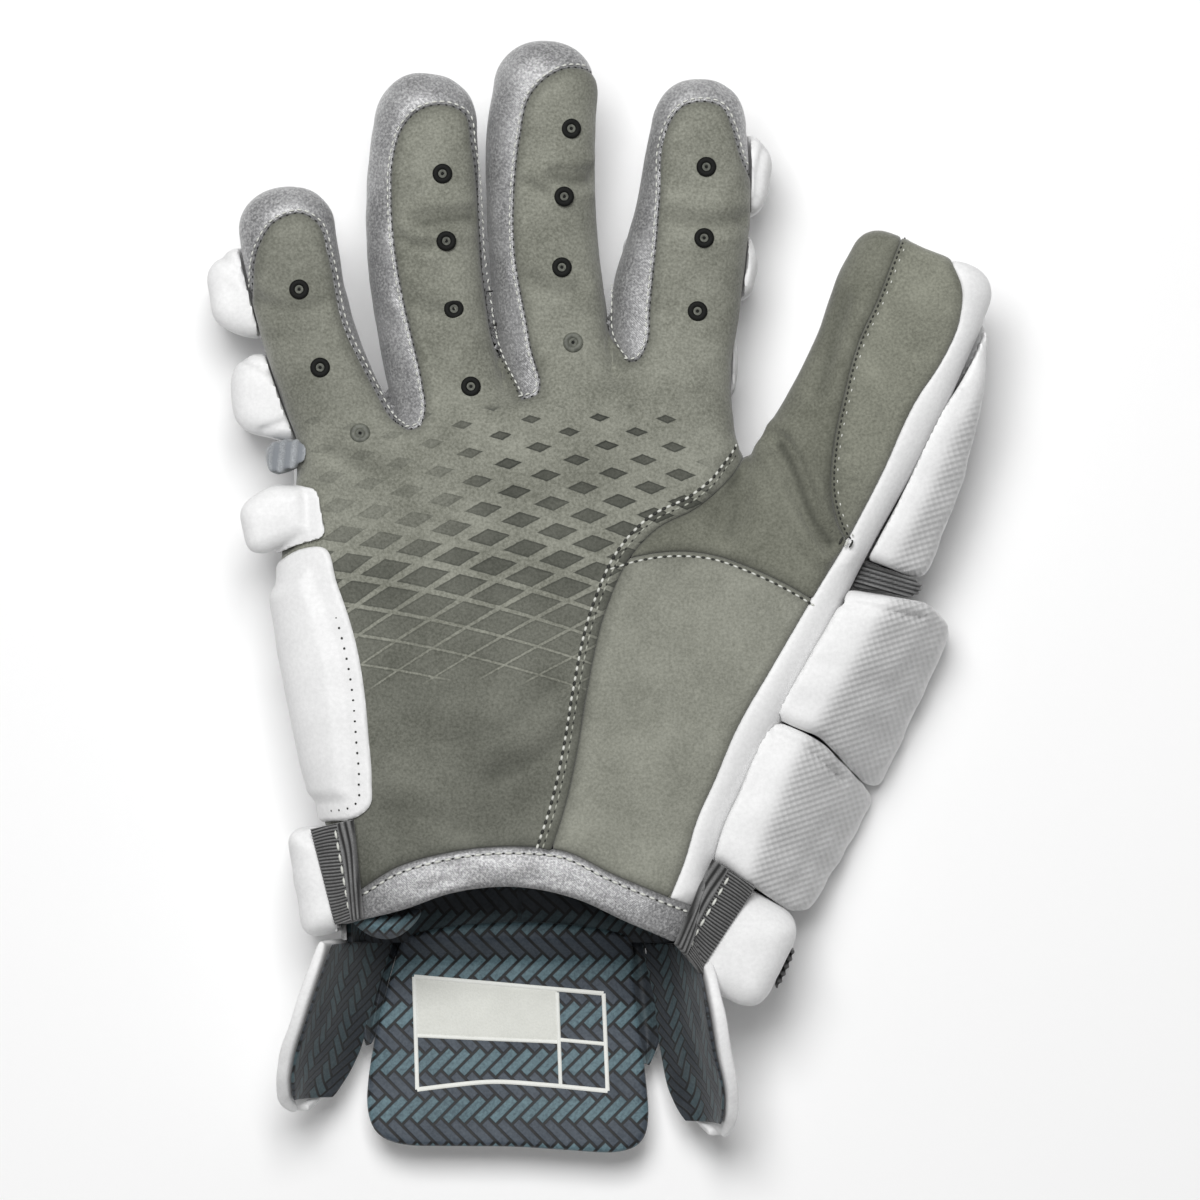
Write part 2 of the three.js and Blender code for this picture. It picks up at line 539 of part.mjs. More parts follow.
// Panels, piping, binding and gussets
const taken = [];
for (const region of REGIONS) {
  const proud = region.proud ?? 0;
  const deeper = region.deeper ?? 0;
  const wall = layer(-WALL - deeper, proud).intersect(prism(region.outline, region.low, TOP));
  add(region.name, taken.length ? wall.subtract(Manifold.union(taken)) : wall, region.material);
  taken.push(clearance(region.outline, region.low, TOP));
}

// The back liner is the rest of the wall, cut away over the wrist below the binding
const wristWindow = prism([...SEAMS.bindingBottom, [60, -FAR], [-outer, -FAR], [-outer, -100]], 46, TOP);
add("back_liner", layer(-WALL, 0).subtract(Manifold.union([...taken, wristWindow])), linerCloth);

// The printed lining inside the wrist
const tunnel = prism([[-FAR, WRIST_END], [60, WRIST_END], [60, -60], [-FAR, -60]], 0, PALM_SPLIT - 1);
add("wrist_lining", layer(-WALL - GAP - LINING, -WALL - GAP).intersect(tunnel), printedLining);

// Pads are cut to sit on the skin, and on the piping and binding where those stand proud of it
const proudRoom = REGIONS.filter(({ proud }) => proud).map(({ outline, low, proud }) =>
  skin(proud + GAP).intersect(prism(grown(outline, GAP), low - GAP, TOP)),
);
const seat = Manifold.union([skin(GAP), ...proudRoom]);
const rightFlapRoom = flap(FLAPS.right, -GAP, FLAP_THICK + GAP, GAP);
const padMaterial = (name) => (name.includes("flex") || name.includes("tab") ? elastic : whiteSkin);
for (const [name, pad] of Object.entries(PADS)) {
  let solid = pillow(pad).subtract(seat);
  if (name === "wrist_pad_right") solid = solid.subtract(rightFlapRoom);
  if (name === "wrist_pad_left") solid = solid.subtract(strap(STRAPS.elastic_strap_left).translate([0, 0, -GAP]));
  add(name, solid, padMaterial(name));
}
const flange = layer(GAP, KNUCKLE_SIDE.flange + GAP).intersect(prism(KNUCKLE_SIDE.outline, KNUCKLE_SIDE.low, TOP));
add("knuckle_side_pad", pillow(KNUCKLE_SIDE).subtract(seat).add(flange), whiteSkin);
const sideWall = layer(GAP, SIDE_PANEL_THICK + GAP).intersect(prism(SIDE_PANEL, BACK_SPLIT, TOP));
add("side_panel", sideWall, whiteSkin);

// Straps lie on the skin and over the wrist pads
for (const [name, shape] of Object.entries(STRAPS)) {
  add(name, strap(shape).subtract(seat).subtract(rightFlapRoom), elastic);
}

// The cuff: two standing flaps and a flat one, each a white pad with its lining
for (const [side, shape] of Object.entries(FLAPS)) {
  const liningRoom = flap(shape, -FLAP_THICK, LINING + GAP, GAP);
  add(`cuff_flap_${side}`, flap(shape, 0, FLAP_THICK).subtract(liningRoom), whiteSkin);
  add(`cuff_flap_${side}_lining`, flap(shape, 0, LINING), printedLining);
}
const curled = (solid) =>
  solid.warp((p) => {
    const past = Math.max(0, CENTRE_FLAP_CURL.from - p[1]);
    p[2] += CENTRE_FLAP_CURL.rise * past * past;
  });
const flatFlap = (low, high, edge) => curled(pillow({ outline: CENTRE_FLAP, low, high, edge }));
const centreLining = flatFlap(9.6, 12.6, 1);
add("cuff_flap_centre", flatFlap(2, 9.6, 2.5).subtract(centreLining.translate([0, 0, -GAP])), whiteSkin);
add("cuff_flap_centre_lining", centreLining, printedLining);

export default glove;
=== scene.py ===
# %% [markdown]
# # A padded ball hockey glove, lying palm up
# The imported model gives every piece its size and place. This notebook makes the surfaces that show: suede
# panels sewn along seams, mesh gussets, puffed white pads, a printed lining, elastic straps, eyelets and
# stitches. Lengths are worked out in millimetres, because a glove maker's sizes are, and become metres
# when a mesh is made.

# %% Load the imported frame
import math

import bpy
import numpy as np
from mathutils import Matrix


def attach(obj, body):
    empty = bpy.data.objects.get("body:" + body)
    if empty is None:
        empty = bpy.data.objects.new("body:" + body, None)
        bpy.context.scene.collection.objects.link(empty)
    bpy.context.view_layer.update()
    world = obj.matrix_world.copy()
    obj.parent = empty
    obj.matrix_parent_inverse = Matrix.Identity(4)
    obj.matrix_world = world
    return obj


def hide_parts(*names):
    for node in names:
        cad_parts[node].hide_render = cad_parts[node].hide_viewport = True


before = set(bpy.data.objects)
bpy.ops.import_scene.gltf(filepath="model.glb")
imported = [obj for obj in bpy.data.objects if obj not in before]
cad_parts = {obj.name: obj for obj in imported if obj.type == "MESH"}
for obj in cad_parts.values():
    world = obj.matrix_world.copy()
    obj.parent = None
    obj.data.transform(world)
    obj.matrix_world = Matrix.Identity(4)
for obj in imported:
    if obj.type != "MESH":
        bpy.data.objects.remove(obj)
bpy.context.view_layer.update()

MM = 0.001

# %% [markdown]
# ## The camera
# The photograph looks straight down on the palm, from far away. A long lens does the same, so that the
# sides of the pads show no more than they should. Its length is set so that the frame is 354 mm wide at
# the height of the fingers.

# %% Camera straight above the palm
CAMERA_HEIGHT, CAMERA_ASIDE = 3.0, 0.00074
FRAME_WIDTH = 0.354
FINGER_HEIGHT = 0.045
SENSOR = 36.0

camera_data = bpy.data.cameras.new("camera")
camera_data.sensor_width = SENSOR
camera_data.lens = SENSOR * (CAMERA_HEIGHT - FINGER_HEIGHT) / FRAME_WIDTH
camera = bpy.data.objects.new("camera", camera_data)
camera.location = (CAMERA_ASIDE, 0, CAMERA_HEIGHT)
bpy.context.scene.collection.objects.link(camera)
bpy.context.scene.camera = camera
print("lens", round(camera_data.lens), "mm")

# %% [markdown]
# ## Curves and outlines
# Seams are drawn with a few points, as a pattern cutter does, and a smooth curve runs through them.
# Everything that is cut, rounded or sewn along a seam then asks one question: how far is this point from
# that curve?

# %% Smooth curves through a few points
def lengths(points):
    """Distance along a chain of points, starting at 0."""
    return np.concatenate([[0], np.cumsum(np.linalg.norm(np.diff(points, axis=0), axis=1))])


def cubic(values, knots, at):
    """Values between knots: a cubic piece whose slope at a knot is that of the values round it."""
    slope = np.gradient(values, knots, axis=0)
    i = np.clip(np.searchsorted(knots, at, side="right") - 1, 0, len(knots) - 2)
    gap = (knots[i + 1] - knots[i])[:, None]
    u = (at - knots[i])[:, None] / gap
    here = (1 + 2 * u) * (1 - u) ** 2 * values[i] + u * (1 - u) ** 2 * gap * slope[i]
    return here + u * u * (3 - 2 * u) * values[i + 1] + u * u * (u - 1) * gap * slope[i + 1]


def through(points, step=2.0):
    """A smooth curve through the points, as points about one step apart."""
    points = np.array(points, float)
    knots = lengths(points)
    return cubic(points, knots, np.linspace(0, knots[-1], max(2, round(knots[-1] / step) + 1)))


def soft_corners(outline, reach=2.5, rounds=3):
    """A closed outline with its corners cut off, each round half as far in, until they are round."""
    outline = np.array(outline, float)
    for _ in range(rounds):
        side = np.roll(outline, -1, axis=0) - outline
        share = np.minimum(reach / np.linalg.norm(side, axis=1), 0.25)[:, None]
        outline = np.stack([outline + share * side, outline + (1 - share) * side], 1).reshape(-1, 2)
        reach /= 2
    return outline


# %% Distance to a curve, and to an outline
def line_distance(xy, line):
    """Shortest distance to a chain of straight sides: the nearest point of each side, clamped to its ends."""
    best = np.full(len(xy), np.inf)
    for a, b in zip(line[:-1], line[1:]):
        side = b - a
        share = np.clip(((xy - a) @ side) / max(side @ side, 1e-12), 0, 1)
        best = np.minimum(best, ((xy - a - share[:, None] * side) ** 2).sum(1))
    return np.sqrt(best)


def outline_distance(xy, outline):
    """Distance to a closed outline, negative inside, where a ray to the right crosses it an odd number
    of times."""
    ring = np.vstack([outline, outline[:1]])
    inside = np.zeros(len(xy), bool)
    for (ax, ay), (bx, by) in zip(ring[:-1], ring[1:]):
        if ay != by:
            spans = (ay > xy[:, 1]) != (by > xy[:, 1])
            inside ^= spans & (xy[:, 0] < ax + (xy[:, 1] - ay) * (bx - ax) / (by - ay))
    return np.where(inside, -1, 1) * line_distance(xy, ring)


def ease(value, low, high):
    """0 below low, 1 above high, and a smooth S between them."""
    t = np.clip((value - low) / (high - low), 0, 1)
    return t * t * (3 - 2 * t)


def smooth_min(a, b, reach):
    """The lesser of two distances, blended where they are within reach of each other."""
    near = np.maximum(reach - np.abs(a - b), 0) / reach
    return np.minimum(a, b) - near * near * reach / 4


def swell(points, wave, seed, count=9):
    """Soft random swells, about -1 to 1: sines in random directions, about one wave long."""
    dice = np.random.default_rng(seed)
    way = dice.normal(size=(count, 3))
    way *= 2 * np.pi / wave / np.linalg.norm(way, axis=1)[:, None] * dice.uniform(0.7, 1.4, (count, 1))
    return np.sin(points @ way.T + dice.uniform(0, 2 * np.pi, count)).mean(1) * 2


# %% [markdown]
# ## The hand shape
# A glove is sewn flat but holds the shape of a hand. One way to model it is to push and pull a subdivided
# box; another, used here, is to say the shape as a formula. Fingers are rounded sections carried along a
# bent line, the palm is a flattened superellipse, and a smooth minimum joins them, so the forks between
# fingers come out soft.

# %% Sections of the fingers, the thumb and the palm
# x, y, z is a section's middle, then half its width and half its height. The last row is the very tip,
# cap is how long the rounding of the tip is, and blunt under 1 squares it off.
LIMBS = {
    "pinky": dict(cap=13, blunt=0.9, rows=[
        (-64.2, 32.4, 41, 15, 13), (-74.5, 51.6, 41, 14.8, 13), (-82.5, 70.8, 40, 14.2, 12.5),
        (-87.8, 88.5, 40, 14, 12.5), (-91.2, 105.8, 41, 14.6, 12.3), (-93.4, 122.3, 42.5, 14.6, 12)]),
    "ring": dict(cap=16, blunt=0.9, rows=[
        (-35.3, 29.5, 41, 17.3, 14), (-40.6, 47.2, 41, 17.3, 14), (-45.6, 66.4, 40, 17.2, 13.5),
        (-49.7, 88.5, 39.5, 17.2, 13.5), (-51.5, 110.6, 40, 17.2, 13.5), (-51.2, 134.8, 41.5, 16.3, 13),
        (-49.7, 155.8, 43.5, 15.8, 12.5)]),
    "middle": dict(cap=16, blunt=0.9, rows=[
        (-5.2, 32.4, 41, 17, 14), (-8.4, 51.6, 41, 17, 14), (-11.9, 70.8, 40, 16.8, 13.5),
        (-14.9, 91.4, 39.5, 16.6, 13.5), (-16.7, 112.6, 40, 16.4, 13.5), (-16.7, 140, 41.5, 16.3, 13),
        (-13.7, 165.4, 43.5, 15.6, 12.5)]),
    "index": dict(cap=15, blunt=0.9, rows=[
        (22, 32.4, 41, 16, 14), (22.6, 51.6, 41, 16.2, 14), (21.5, 70.8, 40, 18, 13.5),
        (23, 88.5, 39.5, 19.3, 13.5), (25.8, 103.3, 40, 18.3, 13.5), (28.4, 119.5, 40.8, 16.8, 13),
        (29.8, 135.8, 42, 15, 12.5), (30.8, 154, 43.5, 14.4, 12)]),
    "thumb": dict(cap=9, blunt=0.35, rows=[
        (17.5, -76, 41, 13.5, 16), (23.3, -57.3, 41, 17.2, 17), (29.8, -38.8, 41.5, 19.8, 18),
        (38, -18.7, 42, 21.6, 18), (46, -2.9, 42, 22, 17), (55.5, 16.1, 42, 21.4, 16),
        (64.2, 31.6, 42, 21, 15.5), (78.3, 57.5, 42, 21.2, 15), (84.8, 71.7, 42.5, 21.3, 15),
        (91.8, 88.8, 43, 21.8, 14.5), (98.3, 103.2, 44, 21.2, 14)]),
}
LIMB_SQUARENESS = 2.4

# The palm from wrist to knuckles: middle x, y, how much the section slants, half width, middle z, half height
PALM = np.array([
    (-22.9, -107, 0, 53.1, 38.5, 25), (-22.9, -100.3, 0, 53.1, 38.5, 25), (-23.3, -73.8, 0, 55.3, 39.5, 23),
    (-25.2, -56.1, 0, 57.2, 40.5, 21), (-27.6, -35.4, 0, 59.6, 41, 19.5), (-29.2, -14.8, 0, 61.8, 41, 19),
    (-28, 5.9, 0.05, 65.4, 41, 19), (-24.2, 23.6, 0.1, 68.3, 41, 18.5), (-25, 41.3, 0.15, 64.4, 41, 18),
    (-25.8, 52, 0.18, 62.8, 41, 16)])
PALM_SQUARENESS = 2.9
PALM_FRONT = 8.5  # how long the rounding in front of the knuckles is
FRONT_SQUARENESS = 2.2
WRIST_END = -100.3


# %% A finger as a formula
def limb_level(limb, plan, z):
    """1 on a finger's skin, less inside: its superellipse radius, mixed with how far out on the tip it is."""
    rows, cap, blunt = np.array(limb["rows"], float), limb["cap"], limb["blunt"]
    heading = rows[-1, :3] - rows[-2, :3]
    heading /= np.linalg.norm(heading)
    rows[-1, :3] -= heading * cap
    knots = lengths(rows[:, :2])
    at = np.linspace(0, knots[-1], 90)
    line = cubic(rows, knots, at)
    way = np.gradient(line[:, :2], axis=0)
    way[-1] = heading[:2]
    way /= np.linalg.norm(way, axis=1)[:, None]
    near = ((plan[:, None] - line[None, :, :2]) ** 2).sum(-1).argmin(1)
    off, way = plan - line[near, :2], way[near]
    along = at[near] + (off * way).sum(1)
    aside = off[:, 0] * way[:, 1] - off[:, 1] * way[:, 0]
    inside = np.clip(along, 0, knots[-1])
    middle, width, height = (np.interp(inside, at, line[:, c])[:, None] for c in (2, 3, 4))
    over = np.maximum(along - knots[-1], 0)[:, None]
    middle = middle + over * heading[2] / np.linalg.norm(heading[:2])
    out = over / cap + np.maximum(-along, 0)[:, None] / width
    across = np.abs(aside[:, None] / width) ** LIMB_SQUARENESS
    across = across + np.abs((z - middle) / height) ** LIMB_SQUARENESS
    return (across ** (2 / blunt / LIMB_SQUARENESS) + out**2) ** (blunt / 2)


def palm_level(plan, z):
    """1 on the palm's skin: a superellipse whose section slants, found by stepping back along the slant."""
    at = np.linspace(PALM[0, 1], PALM[-1, 1], 160)
    table = cubic(PALM, PALM[:, 1], at)
    section = plan[:, 1].copy()
    for _ in range(6):
        middle_x, slant = (np.interp(section, at, table[:, c]) for c in (0, 2))
        section = plan[:, 1] - slant * (plan[:, 0] - middle_x)
    width, middle, height = (np.interp(section, at, table[:, c])[:, None] for c in (3, 4, 5))
    across = np.abs((plan[:, 0] - middle_x)[:, None] / width) ** PALM_SQUARENESS
    across = (across + np.abs((z - middle) / height) ** PALM_SQUARENESS) ** (1 / PALM_SQUARENESS)
    out = np.maximum(section - PALM[-1, 1], 0)[:, None] / PALM_FRONT
    return (across**FRONT_SQUARENESS + out**FRONT_SQUARENESS) ** (1 / FRONT_SQUARENESS)


# %% The whole hand as a distance field on a grid
HAND_STEP = 1.2
HAND_AXES = [np.arange(low, high, HAND_STEP) for low, high in ((-112, 122.5), (-106, 171), (8.5, 68))]
FINGER_WEB, THUMB_WEB = 5, 8  # how far a limb's root flows into the palm
LEAST_STEEP = 0.012


def floor_plan(axes):
    """The x and y of every column of a grid, one row each."""
    return np.stack(np.meshgrid(axes[0], axes[1], indexing="ij"), -1).reshape(-1, 2)


def as_distance(level, step):
    """A level that is 1 on the surface, as millimetres from it: its excess over its own steepness."""
    steep = np.sqrt(sum(slope**2 for slope in np.gradient(level, step)))
    return (level - 1) / np.maximum(steep, LEAST_STEEP)


shape = tuple(len(a) for a in HAND_AXES)
columns, heights = floor_plan(HAND_AXES), HAND_AXES[2][None]
palm = as_distance(palm_level(columns, heights).reshape(shape), HAND_STEP)
hand = palm
for limb_name, limb in LIMBS.items():
    finger = as_distance(limb_level(limb, columns, heights).reshape(shape), HAND_STEP)
    hand = np.minimum(hand, smooth_min(palm, finger, THUMB_WEB if limb_name == "thumb" else FINGER_WEB))
print("hand grid", shape)

# %% [markdown]
# ## From a field to a mesh
# A field becomes a surface with "surface nets": each grid cell that the surface runs through gets one
# vertex, at the middle of the crossings on its edges, and neighbours are joined by quads. Marching cubes
# would also do, but gives slivers. The vertices are then relaxed and pulled back on to the field, which
# leaves even, smooth quads.

# %% Reading a field between its nodes
def reader(field, axes):
    """A function for a field's value and slope at any points, weighted from the eight nodes round each."""
    step = axes[0][1] - axes[0][0]
    nodes = np.stack([field, *np.gradient(field, step)], -1)
    corner, last = np.array([a[0] for a in axes]), np.array(field.shape) - 2

    def read(points):
        spot = (points - corner) / step
        low = np.clip(np.floor(spot).astype(int), 0, last)
        part = np.clip(spot - low, 0, 1)
        total = 0
        for bit in np.ndindex(2, 2, 2):
            weight = np.prod(np.where(bit, part, 1 - part), axis=1)
            total = total + weight[:, None] * nodes[tuple((low + bit).T)]
        return total[:, 0], total[:, 1:]

    return read


# %% Surface nets
def surface(field, axes, rounds=3):
    """The surface where a field is 0, as points and quads that face out. A grid line that crosses it carries
    a quad, whose corners are the four cells round that line."""
    step, corner = axes[0][1] - axes[0][0], np.array([a[0] for a in axes])
    cells = np.array(field.shape) - 1
    quads, spots = [], []
    for d in range(3):
        ahead, aside, up = np.roll(np.eye(3, dtype=int), -d, axis=0)
        low = np.argwhere((field < 0) != (np.roll(field, -1, axis=d) < 0))
        low = low[(low[:, d] < cells[d]) & np.all((low @ np.stack([aside, up], 1)) > 0, axis=1)]
        low = low[np.all((low @ np.stack([aside, up], 1)) < cells[[(d + 1) % 3, (d + 2) % 3]], axis=1)]
        here, there = field[tuple(low.T)], field[tuple((low + ahead).T)]
        round_it = (aside + up, up, 0 * up, aside)
        ring = np.stack([np.ravel_multi_index((low - c).T, cells) for c in round_it], 1)
        quads.append(np.where((here > 0)[:, None], ring[:, ::-1], ring))
        spots.append(low + ahead * (here / (here - there))[:, None])
    quads, spots = np.concatenate(quads), np.repeat(np.concatenate(spots), 4, axis=0)
    _, used = np.unique(quads.ravel(), return_inverse=True)
    count = np.bincount(used)
    points = np.stack([np.bincount(used, spots[:, c]) / count for c in range(3)], 1) * step + corner
    return relaxed(points, used.reshape(-1, 4), reader(field, axes), rounds)


def relaxed(points, quads, read, rounds, pull=0.6):
    """Each point pulled towards the mean of its neighbours, then back to where the field is 0."""
    a, b = quads.ravel(), np.roll(quads, -1, axis=1).ravel()
    i, j = np.concatenate([a, b]), np.concatenate([b, a])
    count = np.bincount(i)[:, None]
    for _ in range(rounds):
        mean = np.stack([np.bincount(i, points[j, c]) for c in range(3)], 1) / count
        points = points + pull * (mean - points)
        value, slope = read(points)
        points = points - slope * (value / np.maximum((slope**2).sum(1), 0.04))[:, None]
    return points, quads


read_hand = reader(hand, HAND_AXES)
hand_points, hand_quads = surface(hand, HAND_AXES)
print("hand surface:", len(hand_points), "points")

# %% [markdown]
# ## Cutting panels
# The skin is one surface. Real gloves are cut from hides and cloth along a pattern, so here too each panel
# is the part of the skin inside its outline. Triangles that straddle a seam are split along it, which
# keeps seams as crisp curves, and each panel then gets its own thickness, so that two panels meet in a
# groove.

# %% Seams, as seen from above
SEAMS = {
    "palm_to_thenar": [
        (-13.6, -73.6), (-9.9, -62.2), (-5.6, -43.1), (-3.1, -27.4), (3.1, -1.5), (9.6, 12.4), (17.6, 20.9),
        (29.6, 27.1), (40.5, 37.6), (45, 46)],
    "pinky_tip": [
        (-102.5, 88.5), (-100.2, 103.8), (-94.8, 111.5), (-86.9, 113.9), (-81.9, 110.9), (-78.9, 101.8),
        (-73.9, 79.6), (-69, 69.5), (-64.3, 60.6), (-59.6, 53), (-55.9, 50.4)],
    "ring_tip": [
        (-55.9, 50.4), (-52.6, 51.2), (-50.9, 55.8), (-51.7, 63.4), (-54.4, 75.8), (-58, 91.4),
        (-60.9, 116.5), (-60.3, 130.4), (-57.4, 139.2), (-51.8, 144.5), (-44.1, 145.7), (-38.8, 143.4),
        (-36.7, 133.9), (-33.2, 93.2), (-29.6, 73.5), (-22.6, 59.3)],
    "middle_tip": [
        (-22.6, 59.3), (-18.4, 60.5), (-20.2, 75.8), (-24.9, 105.3), (-24.6, 122.7), (-22.9, 136.6),
        (-19.9, 148.4), (-14.6, 154), (-7.5, 156.9), (-1.6, 155.8), (2, 150)],
    "middle_right": [(5.5, 136.6), (4.2, 110.6), (3.2, 90), (4.4, 75.8), (8.2, 70.3)],
    "index_tip": [
        (8.2, 70.3), (11.4, 70.4), (14.2, 74.8), (15.3, 86), (18.1, 119.2), (18.7, 133.9), (20.8, 140.4),
        (24.9, 145.4), (30.2, 146.9), (36.7, 145.4), (40, 139.2), (42.3, 131.3), (48, 120)],
    "binding_top": [
        (-90, -92), (-72.4, -86.4), (-59.1, -78.5), (-43.2, -74), (-24.3, -72.3), (-9.3, -73.8), (4, -80.2),
        (20.8, -87.3), (40, -95)],
    "binding_bottom": [
        (-90, -100), (-72.4, -94.7), (-57.4, -90.9), (-43, -86), (-24.3, -84.1), (-5.5, -87.9),
        (8.7, -94.4), (20.8, -99.5), (40, -108)],
    "thenar_stitch": [
        (4, 10.5), (10.2, 12.4), (23.5, 14.2), (33.8, 13.3), (44.4, 9.7), (54.7, 5), (66, -1.5)],
    "thumb_fold": [
        (94, 116), (87.8, 102.7), (82.5, 88.8), (76.6, 75.8), (72.1, 58.7), (69.5, 45.7), (69, 30),
        (73, 18.3), (78, 13)],
    "piping": [
        (101, 112), (105, 99), (107.5, 92), (106.9, 82), (101.6, 69.9), (94.5, 59.3), (83.3, 35.4),
        (73.3, 16.5), (63.3, 0), (51.2, -20.6), (40.9, -38.6), (34.7, -53.4), (29.6, -64.9), (26.1, -76.7),
        (21.5, -88)],
}
seam = {name: through(points) for name, points in SEAMS.items()}
PALM_LOW, THUMB_LOW, BACK_LOW = 38, 34, 28  # how low the palm leather, the thumb leather and the gussets wrap
FAR = 140  # past the glove's edge


def joined(*parts):
    """Curves and single points laid end to end as one outline."""
    return np.vstack([np.array(part, float).reshape(-1, 2) for part in parts])


binding_top = seam["binding_top"]
OUTLINES = {
    "palm_panel": (PALM_LOW, joined(
        binding_top[binding_top[:, 0] < -16], seam["palm_to_thenar"], (47.5, 62), seam["index_tip"][::-1],
        seam["middle_right"][::-1], seam["middle_tip"][::-1], seam["ring_tip"][::-1], seam["pinky_tip"][::-1],
        (-FAR, 88.5), (-FAR, -92))),
    "cuff_binding": (PALM_LOW, joined(seam["binding_bottom"], binding_top[::-1])),
    "thumb_piping": (THUMB_LOW, joined(seam["piping"], (40, -100), (FAR, -100), (FAR, 118))),
    "thenar_panel": (THUMB_LOW, joined(
        (-22, -60), (-15, -20), (-2, 10), seam["thenar_stitch"], (90, -20), (60, -95),
        binding_top[binding_top[:, 0] > -16][::-1])),
    "thumb_face_panel": (THUMB_LOW, joined(seam["thumb_fold"], (120, 13), (120, 116))),
    "thumb_saddle_panel": (THUMB_LOW, joined(
        (-10, 8), (15, 40), (43, 62), (43, 120), (120, 120), (120, -30), (66, -30))),
}
GUSSET_STARTS = {"pinky": 36, "ring": 45, "middle": 50, "index": 60}
SNAP = 0.07  # a point this near a line of cutting counts as on it


# %% Splitting triangles along a line
def cut(rows, faces, level):
    """Splits each triangle that crosses level, where rows hold a point's numbers and the last is compared.
    A split triangle's first corner is the one alone on its side, or the one on the line."""
    rows = rows.copy()
    value = rows[:, -1] - level
    value[np.abs(value) < SNAP] = 0
    rows[:, -1] = value + level
    side = np.sign(value)[faces]
    crossing = (side.max(1) > 0) & (side.min(1) < 0)
    split, side = faces[crossing], side[crossing]
    on_line = (side == 0).any(1)
    alone = np.where(side.sum(1) > 0, side.argmin(1), side.argmax(1))
    first = np.where(on_line, (side == 0).argmax(1), alone)
    turned = split[np.arange(len(split))[:, None], (first[:, None] + [0, 1, 2]) % 3]
    z, p, q = turned[on_line].T
    o, r, s = turned[~on_line].T
    edges = np.sort(np.concatenate([np.stack(pair, 1) for pair in ((p, q), (o, r), (o, s))]), axis=1)
    unique, which = np.unique(edges, axis=0, return_inverse=True)
    share = value[unique[:, 0]] / (value[unique[:, 0]] - value[unique[:, 1]])
    added = rows[unique[:, 0]] + share[:, None] * (rows[unique[:, 1]] - rows[unique[:, 0]])
    added[:, -1] = level
    m, a, b = np.split(which.ravel() + len(rows), [len(p), len(p) + len(o)])
    new = [(z, p, m), (z, m, q), (o, a, b), (a, r, s), (a, s, b)]
    return np.vstack([rows, added]), np.concatenate([faces[~crossing], *(np.stack(t, 1) for t in new)])


def compact(rows, faces):
    """Only the points that the faces use."""
    used, faces_flat = np.unique(faces, return_inverse=True)
    return rows[used], faces_flat.reshape(faces.shape)


def cut_out(rows, faces, value, rings=()):
    """The part of a surface where value is below 0, with extra cuts at the depths in rings. Its last column
    is depth, the distance in from its own edge."""
    rows = np.column_stack([rows, value])
    near = rows[:, -1][faces].min(1) < 1
    rows, faces = compact(rows, faces[near])
    for level in (0.0, *(-depth for depth in rings)):
        rows, faces = cut(rows, faces, level)
        if level == 0:
            rows, faces = compact(rows, faces[rows[:, -1][faces].mean(1) < 0])
    rows[:, -1] = np.maximum(-rows[:, -1], 0)
    return rows, faces


# %% A cut piece with thickness
def shell(points, normals, faces, outer, inner):
    """A closed wall: the surface moved out by outer, a copy turned over at inner, and strips at its edges."""
    count = len(points)
    edges = np.concatenate([faces[:, [0, 1]], faces[:, [1, 2]], faces[:, [2, 0]]])
    key, back = edges[:, 0] * count + edges[:, 1], edges[:, 1] * count + edges[:, 0]
    a, b = edges[~np.isin(key, back)].T
    walls = np.concatenate([np.stack([b, a, a + count], 1), np.stack([b, a + count, b + count], 1)])
    top, bottom = points + normals * outer[:, None], points + normals * inner[:, None]
    return np.vstack([top, bottom]), np.concatenate([faces, faces[:, ::-1] + count, walls])


# %% [markdown]
# ## Helpers for materials
# Suede, mesh, coated cloth and elastic share a few effects: a fine grain, a weave, and painted shade
# along seams. Each is a node group that puts out only masks and heights, so that every material can use it
# with its own values.

# %% Short ways to add nodes
def add_node(tree, kind, inputs=None, **settings):
    """One node. Each input is a value or another node's output, and settings are the node's own options."""
    made = tree.nodes.new(kind)
    for name, value in settings.items():
        setattr(made, name, value)
    for socket, value in (inputs or {}).items():
        if isinstance(value, bpy.types.NodeSocket):
            tree.links.new(value, made.inputs[socket])
        else:
            made.inputs[socket].default_value = value
    return made


def calc(tree, operation, *values, clamp=False):
    """One step of arithmetic on numbers or outputs."""
    made = add_node(tree, "ShaderNodeMath", dict(enumerate(values)), operation=operation, use_clamp=clamp)
    return made.outputs[0]


def remap(tree, value, low, high, to_low=0.0, to_high=1.0):
    """value from low to high, as to_low to to_high, held at both ends."""
    inputs = {"Value": value, "From Min": low, "From Max": high, "To Min": to_low, "To Max": to_high}
    return add_node(tree, "ShaderNodeMapRange", inputs).outputs["Result"]


def mix(tree, share, first, second):
    """Two colours blended by share."""
    inputs = {0: share, 6: first, 7: second}
    return add_node(tree, "ShaderNodeMix", inputs, data_type="RGBA").outputs[2]


def noise(tree, vector, scale, detail=2.0, roughness=0.5):
    """Soft random cloud of about 1 / scale metres, from 0 to 1."""
    inputs = {"Vector": vector, "Scale": scale, "Detail": detail, "Roughness": roughness}
    return add_node(tree, "ShaderNodeTexNoise", inputs).outputs[0]


def attribute(tree, name):
    """A number stored on the piece's points."""
    return add_node(tree, "ShaderNodeAttribute", attribute_name=name).outputs["Fac"]


def tone(red, green, blue):
    """A colour as a screen shows it, 0 to 255, as the linear colour that a shader wants."""
    share = np.array([red, green, blue]) / 255
    return (*np.where(share <= 0.04045, share / 12.92, ((share + 0.055) / 1.055) ** 2.4).tolist(), 1.0)


